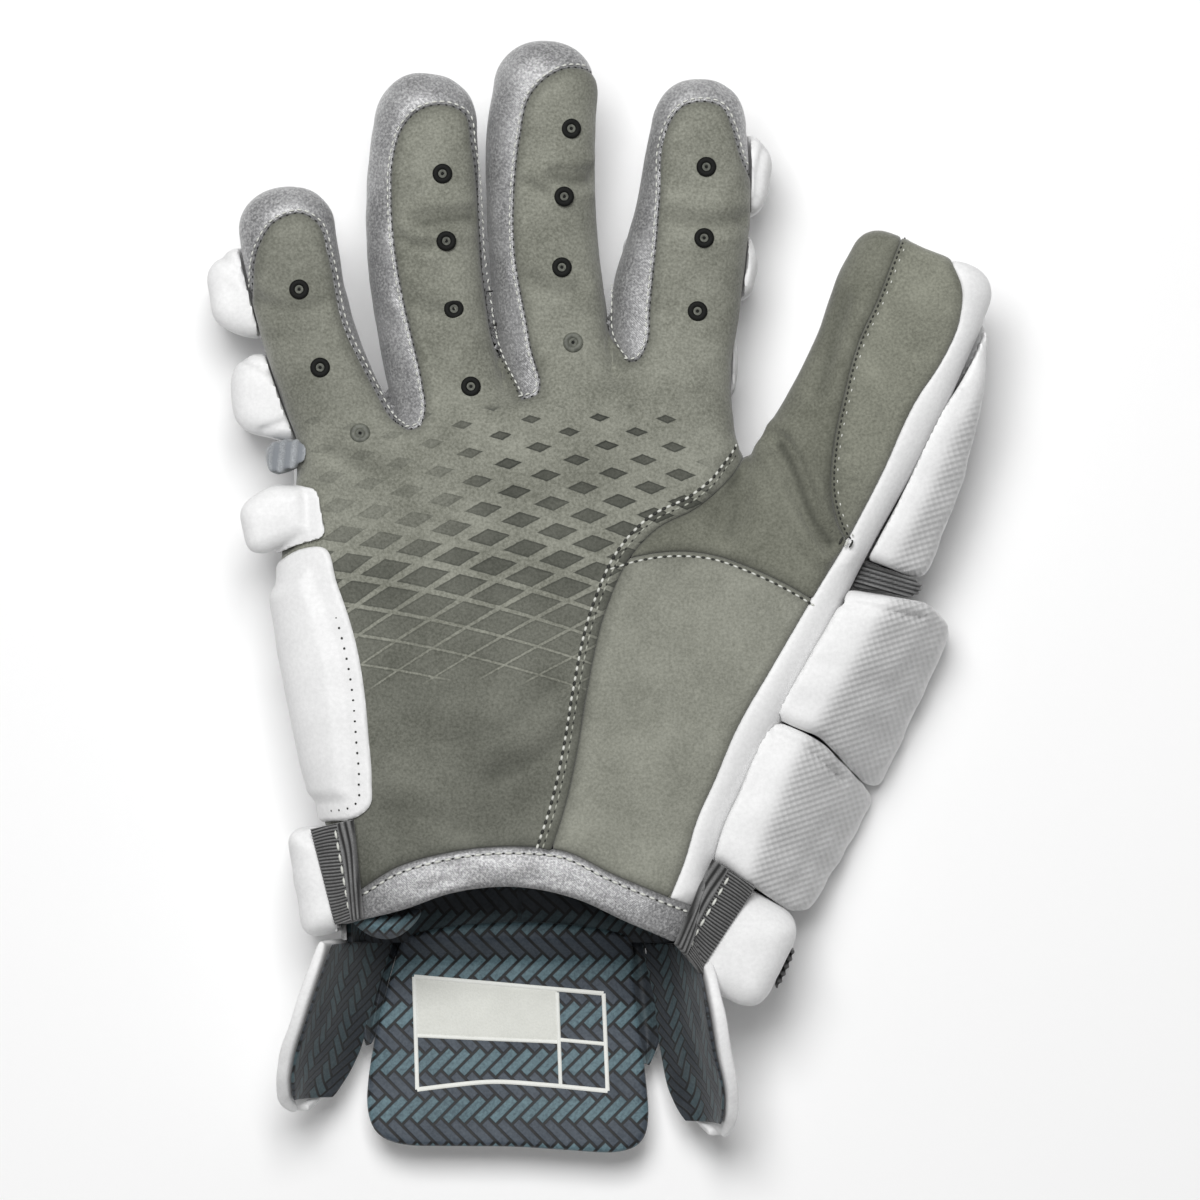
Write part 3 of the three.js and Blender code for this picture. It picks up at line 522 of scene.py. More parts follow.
# %% Groups that several materials share
def new_group(name, inputs, outputs):
    """An empty node group with its inputs and outputs. Numbers are floats, and Vector is a vector."""
    tree = bpy.data.node_groups.new(name, "ShaderNodeTree")
    for label, value in inputs.items():
        kind = "NodeSocketVector" if value is None else "NodeSocketFloat"
        socket = tree.interface.new_socket(name=label, in_out="INPUT", socket_type=kind)
        if value is not None:
            socket.default_value = value
    for label in outputs:
        tree.interface.new_socket(name=label, in_out="OUTPUT", socket_type="NodeSocketFloat")
    return tree, tree.nodes.new("NodeGroupInput").outputs, tree.nodes.new("NodeGroupOutput").inputs


def grain_group():
    """Nap or grain: a fine noise and a cloudy one. Height is for bump, Shade for colour."""
    given = {"Vector": None, "Size": 0.0009, "Cloud": 0.018}
    tree, given, out = new_group("grain", given, ["Height", "Shade"])
    fine = noise(tree, given["Vector"], calc(tree, "DIVIDE", 1.0, given["Size"]), 3.0, 0.6)
    cloud = noise(tree, given["Vector"], calc(tree, "DIVIDE", 1.0, given["Cloud"]), 4.0, 0.55)
    tree.links.new(fine, out["Height"])
    mixed = calc(tree, "ADD", calc(tree, "MULTIPLY", fine, 0.6), calc(tree, "MULTIPLY", cloud, 0.4))
    tree.links.new(remap(tree, mixed, 0.36, 0.64), out["Shade"])
    return tree


def weave_group():
    """Knitted mesh: loops from two crossing sines. Height is the loops, and the other output picks single
    loops for a painted glint.
    """
    tree, given, out = new_group("weave", {"Vector": None, "Pitch": 0.0009}, ["Height", "Painted_Glint"])
    turn = calc(tree, "DIVIDE", 2 * math.pi, given["Pitch"])
    axes = add_node(tree, "ShaderNodeSeparateXYZ", {0: given["Vector"]}).outputs
    across = calc(tree, "SINE", calc(tree, "MULTIPLY", calc(tree, "ADD", axes[0], axes[2]), turn))
    along = calc(tree, "SINE", calc(tree, "MULTIPLY", calc(tree, "SUBTRACT", axes[1], axes[2]), turn))
    tree.links.new(remap(tree, calc(tree, "MULTIPLY", across, along), -1.0, 1.0), out["Height"])
    # painted glint: a fine noise that picks single loops
    glint_noise = noise(tree, given["Vector"], calc(tree, "DIVIDE", 0.9, given["Pitch"]), 1.0)
    tree.links.new(remap(tree, glint_noise, 0.45, 0.68), out["Painted_Glint"])
    return tree


def seam_shade_group():
    """Where a panel is near its sewn edge, for painted shade along the seam: 1 at the edge, fading in with a
    ragged border.
    """
    tree, given, out = new_group("seam_painted_shade", {"Vector": None, "Depth": 0.0, "Reach": 2.5}, ["Mask"])
    ragged = calc(tree, "MULTIPLY", noise(tree, given["Vector"], 350.0), given["Reach"])
    reach = calc(tree, "ADD", calc(tree, "MULTIPLY", given["Reach"], 0.5), ragged)
    depth = calc(tree, "DIVIDE", given["Depth"], reach)
    tree.links.new(remap(tree, depth, 0.0, 1.0, 1.0, 0.0), out["Mask"])
    return tree


GRAIN, WEAVE, SEAM_SHADE = grain_group(), weave_group(), seam_shade_group()


def use(tree, group, **inputs):
    """A group placed in a material, with its own values."""
    return add_node(tree, "ShaderNodeGroup", inputs, node_tree=group).outputs


def new_material(name, roughness, **plain):
    """A material with a Principled shader. Values that are the same all over are set on its own sockets."""
    made = bpy.data.materials.new(name)
    made.use_nodes = True
    tree = made.node_tree
    shader = tree.nodes["Principled BSDF"]
    shader.inputs["Roughness"].default_value = roughness
    for label, value in plain.items():
        shader.inputs[label.replace("_", " ")].default_value = value
    where = add_node(tree, "ShaderNodeTexCoord").outputs["Object"]
    return made, tree, shader.inputs, where


def bump(tree, height, strength, depth, normal=None):
    """Height as a change of normal, with depth in metres."""
    inputs = {"Height": height, "Strength": strength, "Distance": depth}
    if normal is not None:
        inputs["Normal"] = normal
    return add_node(tree, "ShaderNodeBump", inputs).outputs[0]


# %% [markdown]
# ## Suede palm with printed diamonds
# The palm is soft grey-green suede. A grid of wide diamonds is pressed into it: small and apart below the
# fingers, and growing until only thin lines are left between them. The grid bends with the hand, so each
# point of the panel stores where it lies in the grid, as a UV map, and the material only has to ask how
# far it is from a cell's middle.

# %% Where a point lies in the diamond grid
GRID_UNIT = 50.0  # the grid's formula takes x and y in units of 50 mm
GRID_P = (4.964, 2.843, -5.801, -0.303, -0.304, 0.204)
GRID_Q = (4.080, -2.225, -6.356, -0.475, -0.262, -0.206)


def diamond_place(xy):
    """Grid numbers p and q, whole at the middle of a cell: a constant, x, y, x squared, xy and y squared."""
    x, y = xy.T / GRID_UNIT
    terms = np.stack([np.ones_like(x), x, y, x * x, x * y, y * y])
    return np.stack([np.array(GRID_P) @ terms, np.array(GRID_Q) @ terms], 1)


def diamond_size(xy):
    """How much of a cell's side the diamond fills: little below the fingers, nearly all lower down."""
    y = xy[:, 1] - 0.1 * np.maximum(xy[:, 0], 0)
    places = [-22, -14, -5, 4, 12, 20, 28, 36, 46, 56]
    return np.interp(y, places, [0.955, 0.94, 0.9, 0.81, 0.71, 0.63, 0.56, 0.47, 0.38, 0.3])


def line_shown(xy):
    """Where unprinted lines are left between the cells: down to the V in which the pattern ends."""
    x, y = xy.T
    return ease(y + 0.12 * np.abs(x + 38), -24, -20.5)


def ink_strength(xy):
    """How dark the print is: full below the fingers, weaker to the wrist, and rubbed away on the left."""
    x, y = xy.T
    ends = ease(-y, -58, -55) * ease(-x - 0.35 * y, -48, -40)
    worn = 1 - 0.72 * ease(-x, 24, 58) * ease(y, 6, 30)
    fading = np.interp(y, [-70, -30, -10, 10, 30, 50], [0.58, 0.55, 0.62, 0.85, 0.98, 1.0])
    return ends * worn * fading * (1 + 0.12 * swell(np.column_stack([xy, 0 * x]), 30, 21))


# %% Suede
def suede(name, light, dark, printed=False):
    """Matt nap, mottled by handling, with painted shade along its seams, in its creases and in shaded
    patches.
    """
    soft = dict(Sheen_Weight=0.25, Sheen_Roughness=0.5, Specular_IOR_Level=0.25)
    made, tree, shader, where = new_material(name, 0.88, **soft)
    grain = use(tree, GRAIN, Vector=where, Size=0.0008, Cloud=0.016)
    colour = mix(tree, grain["Shade"], tone(*dark), tone(*light))
    # painted shade: the suede darkens towards its seams, where the panel rounds down into its groove
    seam_shade_mask = use(tree, SEAM_SHADE, Vector=where, Depth=attribute(tree, "depth"), Reach=3.4)["Mask"]
    colour = mix(tree, calc(tree, "MULTIPLY", seam_shade_mask, 0.45), colour, tone(62, 63, 56))
    # painted shade: darker in the creases and in the patches where less light falls
    painted_shade = attribute(tree, "painted_shade")
    colour = mix(tree, calc(tree, "MULTIPLY", painted_shade, 0.75), colour, tone(58, 59, 52))
    normal = bump(tree, grain["Height"], 0.35, 0.0004)
    if printed:
        place = add_node(tree, "ShaderNodeUVMap", uv_map="diamonds").outputs[0]
        axes = add_node(tree, "ShaderNodeSeparateXYZ", {0: place}).outputs
        apart = [calc(tree, "ABSOLUTE", calc(tree, "SUBTRACT", a, calc(tree, "ROUND", a))) for a in axes[:2]]
        half = calc(tree, "MULTIPLY", attribute(tree, "diamond_size"), 0.5)
        ragged = calc(tree, "MULTIPLY", calc(tree, "SUBTRACT", noise(tree, where, 900.0), 0.5), 0.05)
        gap = calc(tree, "ADD", calc(tree, "SUBTRACT", half, calc(tree, "MAXIMUM", *apart)), ragged)
        cell = remap(tree, gap, 0.0, 0.03)
        rim = calc(tree, "MULTIPLY", cell, remap(tree, gap, 0.02, 0.09, 1.0, 0.0))
        shown, ink = attribute(tree, "line_shown"), attribute(tree, "ink")
        bare = calc(tree, "MULTIPLY", shown, calc(tree, "SUBTRACT", 1.0, cell))
        rim = calc(tree, "MULTIPLY", calc(tree, "MULTIPLY", rim, shown), 0.25)
        print_mask = calc(tree, "ADD", calc(tree, "MULTIPLY", calc(tree, "SUBTRACT", 1.0, bare), 0.74), rim)
        inked = calc(tree, "MULTIPLY", print_mask, ink, clamp=True)
        colour = mix(tree, inked, colour, tone(48, 50, 45))
        normal = bump(tree, calc(tree, "MULTIPLY", bare, ink), 0.7, 0.0003, normal)
    tree.links.new(colour, shader["Base Color"])
    tree.links.new(normal, shader["Normal"])
    return made


palm_suede = suede("palm_suede", (148, 149, 138), (105, 106, 96), printed=True)
thenar_suede = suede("thenar_suede", (150, 151, 140), (119, 120, 110))
saddle_suede = suede("saddle_suede", (130, 131, 119), (97, 98, 87))
face_suede = suede("face_suede", (143, 144, 131), (108, 109, 98))


# %% [markdown]
# ## Silver mesh, white coated cloth, liner
# The gussets and binding are a satin mesh: it shines along the finger, and single loops are lightened as a
# painted glint. The pads are covered in smooth white coated cloth, which turns to a fine diagonal dimple on
# their outer slopes, greyed there partly by painted shade.

# %% Mesh and liner cloth
def mesh_cloth(name, light, dark, metallic, roughness):
    """A knitted cloth: loops for bump, painted glints on single loops, and painted shade towards its seams.
    """
    made, tree, shader, where = new_material(name, roughness, Metallic=metallic, Sheen_Weight=0.2)
    loops = use(tree, WEAVE, Vector=where, Pitch=0.0007)
    grain = use(tree, GRAIN, Vector=where, Size=0.0006, Cloud=0.012)
    colour = mix(tree, grain["Shade"], tone(*dark), tone(*light))
    # painted glint: single loops lightened towards white
    colour = mix(tree, calc(tree, "MULTIPLY", loops["Painted_Glint"], 0.35), colour, tone(235, 235, 235))
    # painted shade: the mesh darkens towards its seams
    seam_shade_mask = use(tree, SEAM_SHADE, Vector=where, Depth=attribute(tree, "depth"), Reach=1.6)["Mask"]
    colour = mix(tree, calc(tree, "MULTIPLY", seam_shade_mask, 0.35), colour, tone(70, 70, 70))
    tree.links.new(colour, shader["Base Color"])
    normal = bump(tree, grain["Height"], 0.45, 0.0003)
    tree.links.new(bump(tree, loops["Height"], 0.22, 0.0002, normal), shader["Normal"])
    return made


silver_mesh = mesh_cloth("silver_mesh", (170, 170, 171), (112, 112, 113), 0.4, 0.45)
liner_cloth = mesh_cloth("liner_cloth", (168, 168, 168), (130, 130, 130), 0.0, 0.8)


# %% White coated cloth
def white_cloth(name, dimpled):
    """Smooth coated cloth with a faint leather grain, and dimples where the attribute says. There the colour
    greys, partly a greyer cloth and partly painted shade on the slope and in the pits.
    """
    made, tree, shader, where = new_material(name, 0.55, Specular_IOR_Level=0.4)
    grain = use(tree, GRAIN, Vector=where, Size=0.0012, Cloud=0.03)
    colour = mix(tree, grain["Shade"], tone(226, 226, 226), tone(238, 238, 238))
    normal = bump(tree, grain["Height"], 0.12, 0.0003)
    if dimpled:
        turn = {"Vector": where, "Rotation": (0.0, 0.0, math.radians(28))}
        turned = add_node(tree, "ShaderNodeMapping", turn)
        axes = add_node(tree, "ShaderNodeSeparateXYZ", {0: turned.outputs[0]}).outputs
        waves = [calc(tree, "SINE", calc(tree, "MULTIPLY", a, 2 * math.pi / 0.0024)) for a in axes[:2]]
        share = attribute(tree, "dimple")
        dimple = calc(tree, "MULTIPLY", calc(tree, "MULTIPLY", *waves), share)
        normal = bump(tree, dimple, 0.55, 0.00035, normal)
        # painted shade: the dimpled slope greys, partly as a greyer cloth, and is darkest in the pits
        pit_shade = remap(tree, dimple, -1.0, 1.0, 0.46, 0.30)
        colour = mix(tree, calc(tree, "MULTIPLY", pit_shade, share), colour, tone(150, 150, 150))
    tree.links.new(colour, shader["Base Color"])
    tree.links.new(normal, shader["Normal"])
    return made


smooth_white = white_cloth("smooth_white", False)
dimpled_shaded_white = white_cloth("dimpled_shaded_white", True)


# %% [markdown]
# ## Printed lining
# The lining is printed like a basket: short bricks laid in a herringbone, some teal grey and some darker,
# with black between them. A brick is three units long and one wide. Counting the units along both
# diagonals and taking their difference modulo six says which way the brick under a point runs, and where
# its middle is.

# %% Herringbone as a node group
def herringbone_group():
    """Edge is how far a point is inside its brick, in units, and Way is 1 for bricks that lean one way."""
    tree, given, out = new_group("herringbone", {"U": 0.0, "V": 0.0}, ["Edge", "Way"])
    u, v = (calc(tree, how, given["U"], given["V"]) for how in ("ADD", "SUBTRACT"))
    cell_u, cell_v = (calc(tree, "FLOOR", value) for value in (u, v))
    turn = calc(tree, "FLOORED_MODULO", calc(tree, "SUBTRACT", cell_u, cell_v), 6.0)
    way = calc(tree, "LESS_THAN", turn, 2.5)
    part_u, part_v = calc(tree, "SUBTRACT", u, cell_u), calc(tree, "SUBTRACT", v, cell_v)
    along = calc(tree, "ADD", part_u, turn)
    upward = calc(tree, "ADD", part_v, calc(tree, "SUBTRACT", 5.0, turn))

    def brick_edge(long_way, short_way):
        ends = calc(tree, "MINIMUM", long_way, calc(tree, "SUBTRACT", 3.0, long_way))
        sides = calc(tree, "MINIMUM", short_way, calc(tree, "SUBTRACT", 1.0, short_way))
        return calc(tree, "MINIMUM", ends, sides)

    lying, standing = brick_edge(along, part_v), brick_edge(upward, part_u)
    other = calc(tree, "MULTIPLY", standing, calc(tree, "SUBTRACT", 1.0, way))
    tree.links.new(calc(tree, "ADD", calc(tree, "MULTIPLY", lying, way), other), out["Edge"])
    tree.links.new(way, out["Way"])
    return tree


HERRINGBONE = herringbone_group()
BRICK = 3.3  # millimetres across a brick
BRICK_TONES = [(62, 84, 93), (100, 126, 134), (44, 54, 65), (74, 83, 93)]


# %% Lining material
def printed_cloth(name, shade):
    """The herringbone print, read from a UV map in millimetres. A shade under 1 makes a darker copy, partly a
    darker weave and partly painted shade.
    """
    made, tree, shader, where = new_material(name, 0.62, Sheen_Weight=0.15)
    place = add_node(tree, "ShaderNodeUVMap", uv_map="cloth").outputs[0]
    axes = add_node(tree, "ShaderNodeSeparateXYZ", {0: place}).outputs
    u, v = (calc(tree, "DIVIDE", axis, BRICK * math.sqrt(2)) for axis in axes[:2])
    brick = use(tree, HERRINGBONE, U=u, V=v)
    grain = use(tree, GRAIN, Vector=where, Size=0.0009, Cloud=0.02)
    dark_teal, teal, dark_plum, plum = (tone(*(shade * np.array(colour))) for colour in BRICK_TONES)
    leaning = mix(tree, grain["Shade"], dark_teal, teal)
    other = mix(tree, grain["Shade"], dark_plum, plum)
    colour = mix(tree, brick["Way"], other, leaning)
    print_mask = remap(tree, brick["Edge"], 0.1, 0.17)
    colour = mix(tree, print_mask, tone(6, 8, 10), colour)
    tree.links.new(colour, shader["Base Color"])
    normal = bump(tree, grain["Height"], 0.25, 0.0003)
    tree.links.new(bump(tree, print_mask, 0.35, 0.0003, normal), shader["Normal"])
    return made


lining_print = printed_cloth("lining_print", 1.0)
# painted shade: a darker copy of the print for the flap sides and inside the wrist, where less light falls;
# partly also a darker weave
shaded_inner_print = printed_cloth("shaded_inner_print", 0.72)  # for the sides and the wrist


# %% Elastic, threads and small trims
def trim(name, light, dark, roughness, size=0.0006, **plain):
    """A small fitting or thread: one colour with a fine grain."""
    made, tree, shader, where = new_material(name, roughness, **plain)
    grain = use(tree, GRAIN, Vector=where, Size=size, Cloud=0.01)
    tree.links.new(mix(tree, grain["Shade"], tone(*dark), tone(*light)), shader["Base Color"])
    tree.links.new(bump(tree, grain["Height"], 0.4, 0.0002), shader["Normal"])
    return made


def ribbed(name, ridge, valley_shade):
    """Woven elastic: its yarn on the ribs and painted shade between them, as the piece's rib attribute says.
    """
    made, tree, shader, where = new_material(name, 0.85, Sheen_Weight=0.2)
    grain = use(tree, GRAIN, Vector=where, Size=0.0004, Cloud=0.006)
    height = remap(tree, attribute(tree, "rib"), -0.7, 0.6)
    yarn = mix(tree, grain["Shade"], tone(*(0.72 * np.array(ridge))), tone(*ridge))
    # painted shade: the colour darkens into the valleys between the ribs
    tree.links.new(mix(tree, height, tone(*valley_shade), yarn), shader["Base Color"])
    tree.links.new(bump(tree, grain["Height"], 0.5, 0.0002), shader["Normal"])
    return made


elastic = ribbed("elastic", (128, 128, 128), (30, 30, 30))
grey_elastic = ribbed("grey_elastic", (176, 180, 184), (128, 132, 137))
light_thread = trim("light_thread", (226, 227, 220), (190, 191, 184), 0.7)
muted_thread = trim("muted_thread", (176, 178, 166), (140, 141, 130), 0.8)
dark_thread = trim("dark_thread", (52, 53, 49), (30, 31, 28), 0.75)
black_rubber = trim("black_rubber", (20, 21, 19), (9, 10, 9), 0.7, Specular_IOR_Level=0.2)
worn_rubber = trim("worn_rubber", (112, 114, 104), (58, 60, 54), 0.6, size=0.0016)
vent_grey = trim("vent_grey", (108, 110, 101), (60, 62, 56), 0.7, size=0.0009)
label_ink = trim("label_ink", (238, 239, 234), (228, 229, 223), 0.55)
label_field = trim("label_field", (222, 223, 216), (211, 212, 205), 0.6)


# %% Making a piece of the glove
def piece(name, points, faces, material, replaces=(), numbers=None, maps=None, sharp=50):
    """One object in metres, riding on the glove. numbers are stored on its points, maps are UV maps."""
    name = f"sewn_{name}" if name in replaces else name
    data = bpy.data.meshes.new(name)
    data.from_pydata((points * MM).tolist(), [], faces.tolist())
    data.validate()
    data.polygons.foreach_set("use_smooth", np.ones(len(data.polygons), bool))
    data.set_sharp_from_angle(angle=math.radians(sharp))
    for label, values in (numbers or {}).items():
        data.attributes.new(label, "FLOAT", "POINT").data.foreach_set("value", values.astype(np.float32))
    if maps:
        corner = np.empty(len(data.loops), np.int32)
        data.loops.foreach_get("vertex_index", corner)
    for label, places in (maps or {}).items():
        data.uv_layers.new(name=label).data.foreach_set("uv", places[corner].astype(np.float32).ravel())
    data.materials.append(material)
    made = bpy.data.objects.new(name, data)
    bpy.context.scene.collection.objects.link(made)
    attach(made, "root")
    if replaces:
        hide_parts(*replaces)
    print(f"{name}: {len(faces)} faces")
    return made


# %% [markdown]
# ## Creases
# A worn glove folds where the fingers bend and where the thumb closes. Each crease is a short line on the
# pattern, and the skin sinks beside it. Sculpting would do as well, but a line with a depth and a width
# can be tuned.

# %% Creases in the leather
# line, depth, width, in millimetres
CREASES = [
    ([(-12, 124.5), (-6, 124), (1, 125.5)], 1.5, 2.6),
    ([(-21, 123), (-17.5, 121), (-14.5, 119.6)], 0.9, 1.7),
    ([(-51, 111), (-44, 112.2), (-37, 113)], 1.3, 2.6), ([(-59, 107), (-54, 104.5), (-49, 104)], 0.8, 1.8),
    ([(-57, 90), (-50, 86), (-44, 85)], 0.7, 2.4), ([(-22, 96), (-14, 92), (-6, 92)], 0.7, 2.4),
    ([(22, 113), (31, 111), (42, 112)], 0.8, 2.6), ([(-100, 88), (-92, 85), (-82, 86)], 0.7, 2.4),
    ([(53.5, 46), (57, 40), (60.5, 31), (64, 23), (68.5, 17)], 2.4, 2.6),
    ([(40, 37), (40.5, 28), (38.5, 20)], 1.1, 4.0), ([(72, 88), (68, 74), (65, 62)], 0.7, 3.0),
    ([(-8, -38), (-18, -46), (-30, -52)], 0.7, 3.5), ([(-14, -26), (-26, -36), (-42, -41)], 0.5, 4.0),
    ([(-62, -60), (-45, -64), (-30, -70)], 0.5, 4.0), ([(-79, 44), (-70, 40), (-60, 38)], 0.7, 3.0),
]
# patches of painted shade on the leather, where less light falls: centre, radius and strength
SHADED_PATCHES = [
    ((-92, 92), 20, 0.30), ((-82, 66), 16, 0.26), ((-70, 48), 12, 0.16), ((62, 34), 14, 0.22),
    ((52, 22), 14, 0.16), ((-3, 110), 8, 0.12), ((42, 95), 9, 0.16), ((-58, 120), 8, 0.12),
    ((-24, -58), 18, 0.10)]


def creased(points):
    """How far each point sinks, and how much painted shade it gets, from 0 to 1: in a crease, and in the
    shaded patches.
    """
    sink, painted_shade = np.zeros(len(points)), np.zeros(len(points))
    upper = ease(points[:, 2], 42, 48)
    for line, depth, width in CREASES:
        away = line_distance(points[:, :2], through(line)) / width
        sink += 1.8 * depth * upper * (np.exp(-(away**2)) - 0.35 * np.exp(-((away - 1.9) ** 2)))
        painted_shade = np.maximum(painted_shade, upper * np.exp(-((away * 1.6) ** 2)) * min(1, depth / 2))
    for centre, radius, strength in SHADED_PATCHES:
        painted_shade = np.maximum(painted_shade, strength * np.exp(-((points[:, :2] - centre) ** 2).sum(1) / radius**2))
    return sink, painted_shade


def leather_rise(points, depth, undulate):
    """How far a panel stands off the even skin, from soft waves and creases that fade at its seams, and how
    much painted shade each point gets from creases and shaded patches."""
    sink, painted_shade = creased(points)
    sway = undulate * (swell(points, 34, 3) + 0.35 * swell(points, 11, 4))
    return sway * ease(depth, 0, 4) - sink * ease(depth, 0, 3), painted_shade


# %% Panels of the skin
LEATHER_THICK, LEATHER_SWAY = 1.5, 0.45
WRIST_MIDDLE = -23


def panel(name, value, material, slot, base=0.0, drop=0.9, round_over=1.5, bottom=-LEATHER_THICK, puff=0.0,
          undulate=LEATHER_SWAY, quilt=0.0):
    """The part of the skin where value is below 0, as a shell. It rises from its edge to base, on by puff."""
    rows, faces = cut_out(hand_rows, hand_faces, value, rings=(0.4, 1.1))
    points, normals, depth = rows[:, :3], rows[:, 3:6], rows[:, -1]
    near_edge = np.clip(1 - depth / round_over, 0, 1)
    rise, painted_shade = leather_rise(points, depth, undulate)
    outer = base - drop * (1 - np.sqrt(1 - near_edge**2)) + puff * ease(depth, 0, 7) + rise
    inner = bottom - quilt * (1 + swell(points, 19, 5)) * ease(depth, 0, 6)
    solid, walls = shell(points, normals, faces, np.maximum(outer, inner + 0.3), inner)
    twice = np.concatenate([points[:, :2]] * 2)
    numbers = {"depth": np.concatenate([depth] * 2), "painted_shade": np.concatenate([painted_shade] * 2)}
    maps = None
    if name == "palm_panel":
        numbers["diamond_size"] = diamond_size(twice)
        numbers["line_shown"] = line_shown(twice)
        numbers["ink"] = ink_strength(twice)
        maps = {"diamonds": diamond_place(twice)}
    if name == "wrist_lining":
        round_wrist = points[:, 0] + points[:, 2] * np.sign(points[:, 0] - WRIST_MIDDLE)
        maps = {"cloth": np.concatenate([np.stack([round_wrist, points[:, 1]], 1)] * 2)}
    return piece(name, solid, walls, material, [name], numbers, maps)


hand_faces = np.concatenate([hand_quads[:, [0, 1, 2]], hand_quads[:, [0, 2, 3]]])
slope = read_hand(hand_points)[1]
hand_rows = np.column_stack([hand_points, slope / np.linalg.norm(slope, axis=1)[:, None]])
beyond_wrist = WRIST_END - hand_points[:, 1]

regions = {name: np.maximum(outline_distance(hand_points[:, :2], outline), low - hand_points[:, 2])
           for name, (low, outline) in OUTLINES.items()}
LEVEL_TO_MM = 15
plan, height = hand_points[:, :2], hand_points[:, 2:]
levels = {name: LEVEL_TO_MM * limb_level(LIMBS[name], plan, height)[:, 0] for name in GUSSET_STARTS}
for name, start in GUSSET_STARTS.items():
    others = np.min([level for other, level in levels.items() if other != name], axis=0)
    own = np.maximum((levels[name] - others) / 2, hand_points[:, 0] - 58)
    regions[f"{name}_gusset"] = np.max([own, start - hand_points[:, 1], BACK_LOW - hand_points[:, 2]], axis=0)

LOOKS = {
    "palm_panel": (palm_suede, "palm_suede", {}),
    "cuff_binding": (silver_mesh, "silver_mesh",
                     dict(base=0.5, drop=1.3, round_over=2.4, bottom=-2.0, puff=0.5)),
    "thumb_piping": (smooth_white, "white_synthetic",
                     dict(base=0.4, drop=1.4, round_over=3.2, puff=1.0, undulate=0.1)),
    "thenar_panel": (thenar_suede, "palm_suede", {}),
    "thumb_face_panel": (face_suede, "palm_suede", {}),
    "thumb_saddle_panel": (saddle_suede, "palm_suede", {}),
    **{f"{name}_gusset": (silver_mesh, "silver_mesh", dict(base=-0.5, drop=0.5)) for name in GUSSET_STARTS},
}
taken = beyond_wrist
for name, (material, slot, sizes) in LOOKS.items():
    panel(name, np.maximum(regions[name], taken), material, slot, **sizes)
    taken = np.maximum(taken, -regions[name])

# %% Back liner and the lining inside the wrist
wrist_side = joined(seam["binding_bottom"], (60, -FAR), (-FAR, -FAR), (-FAR, -100))
window = np.maximum(outline_distance(hand_points[:, :2], wrist_side), 46 - hand_points[:, 2])
back = panel("back_liner", np.max([taken, -window], axis=0), liner_cloth, "liner_cloth", base=-0.3, drop=0.4)
thinner = back.modifiers.new("fewer_faces", "DECIMATE")
thinner.ratio = 0.45  # most of the liner is hidden
tunnel = np.max([hand_points[:, 1] + 60, hand_points[:, 2] - 37, beyond_wrist - 1.6], axis=0)
lining = panel("wrist_lining", tunnel, shaded_inner_print, "printed_lining", base=-1.9, drop=0.4, bottom=-3.3,
               undulate=0, quilt=1.1)
print("wrist lining, square metres of one side:", sum(face.area for face in lining.data.polygons) / 2)

# %% [markdown]
# ## Pads
# Each pad is foam in a sewn cover: flat where it lies on the hand, crowned on top, and round at its edges.
# As a formula it is an outline with two faces, rounded where they meet, minus the hand. A cloth simulation
# would puff it too, but here the pads must stay cut to the skin, which a formula gives exactly.

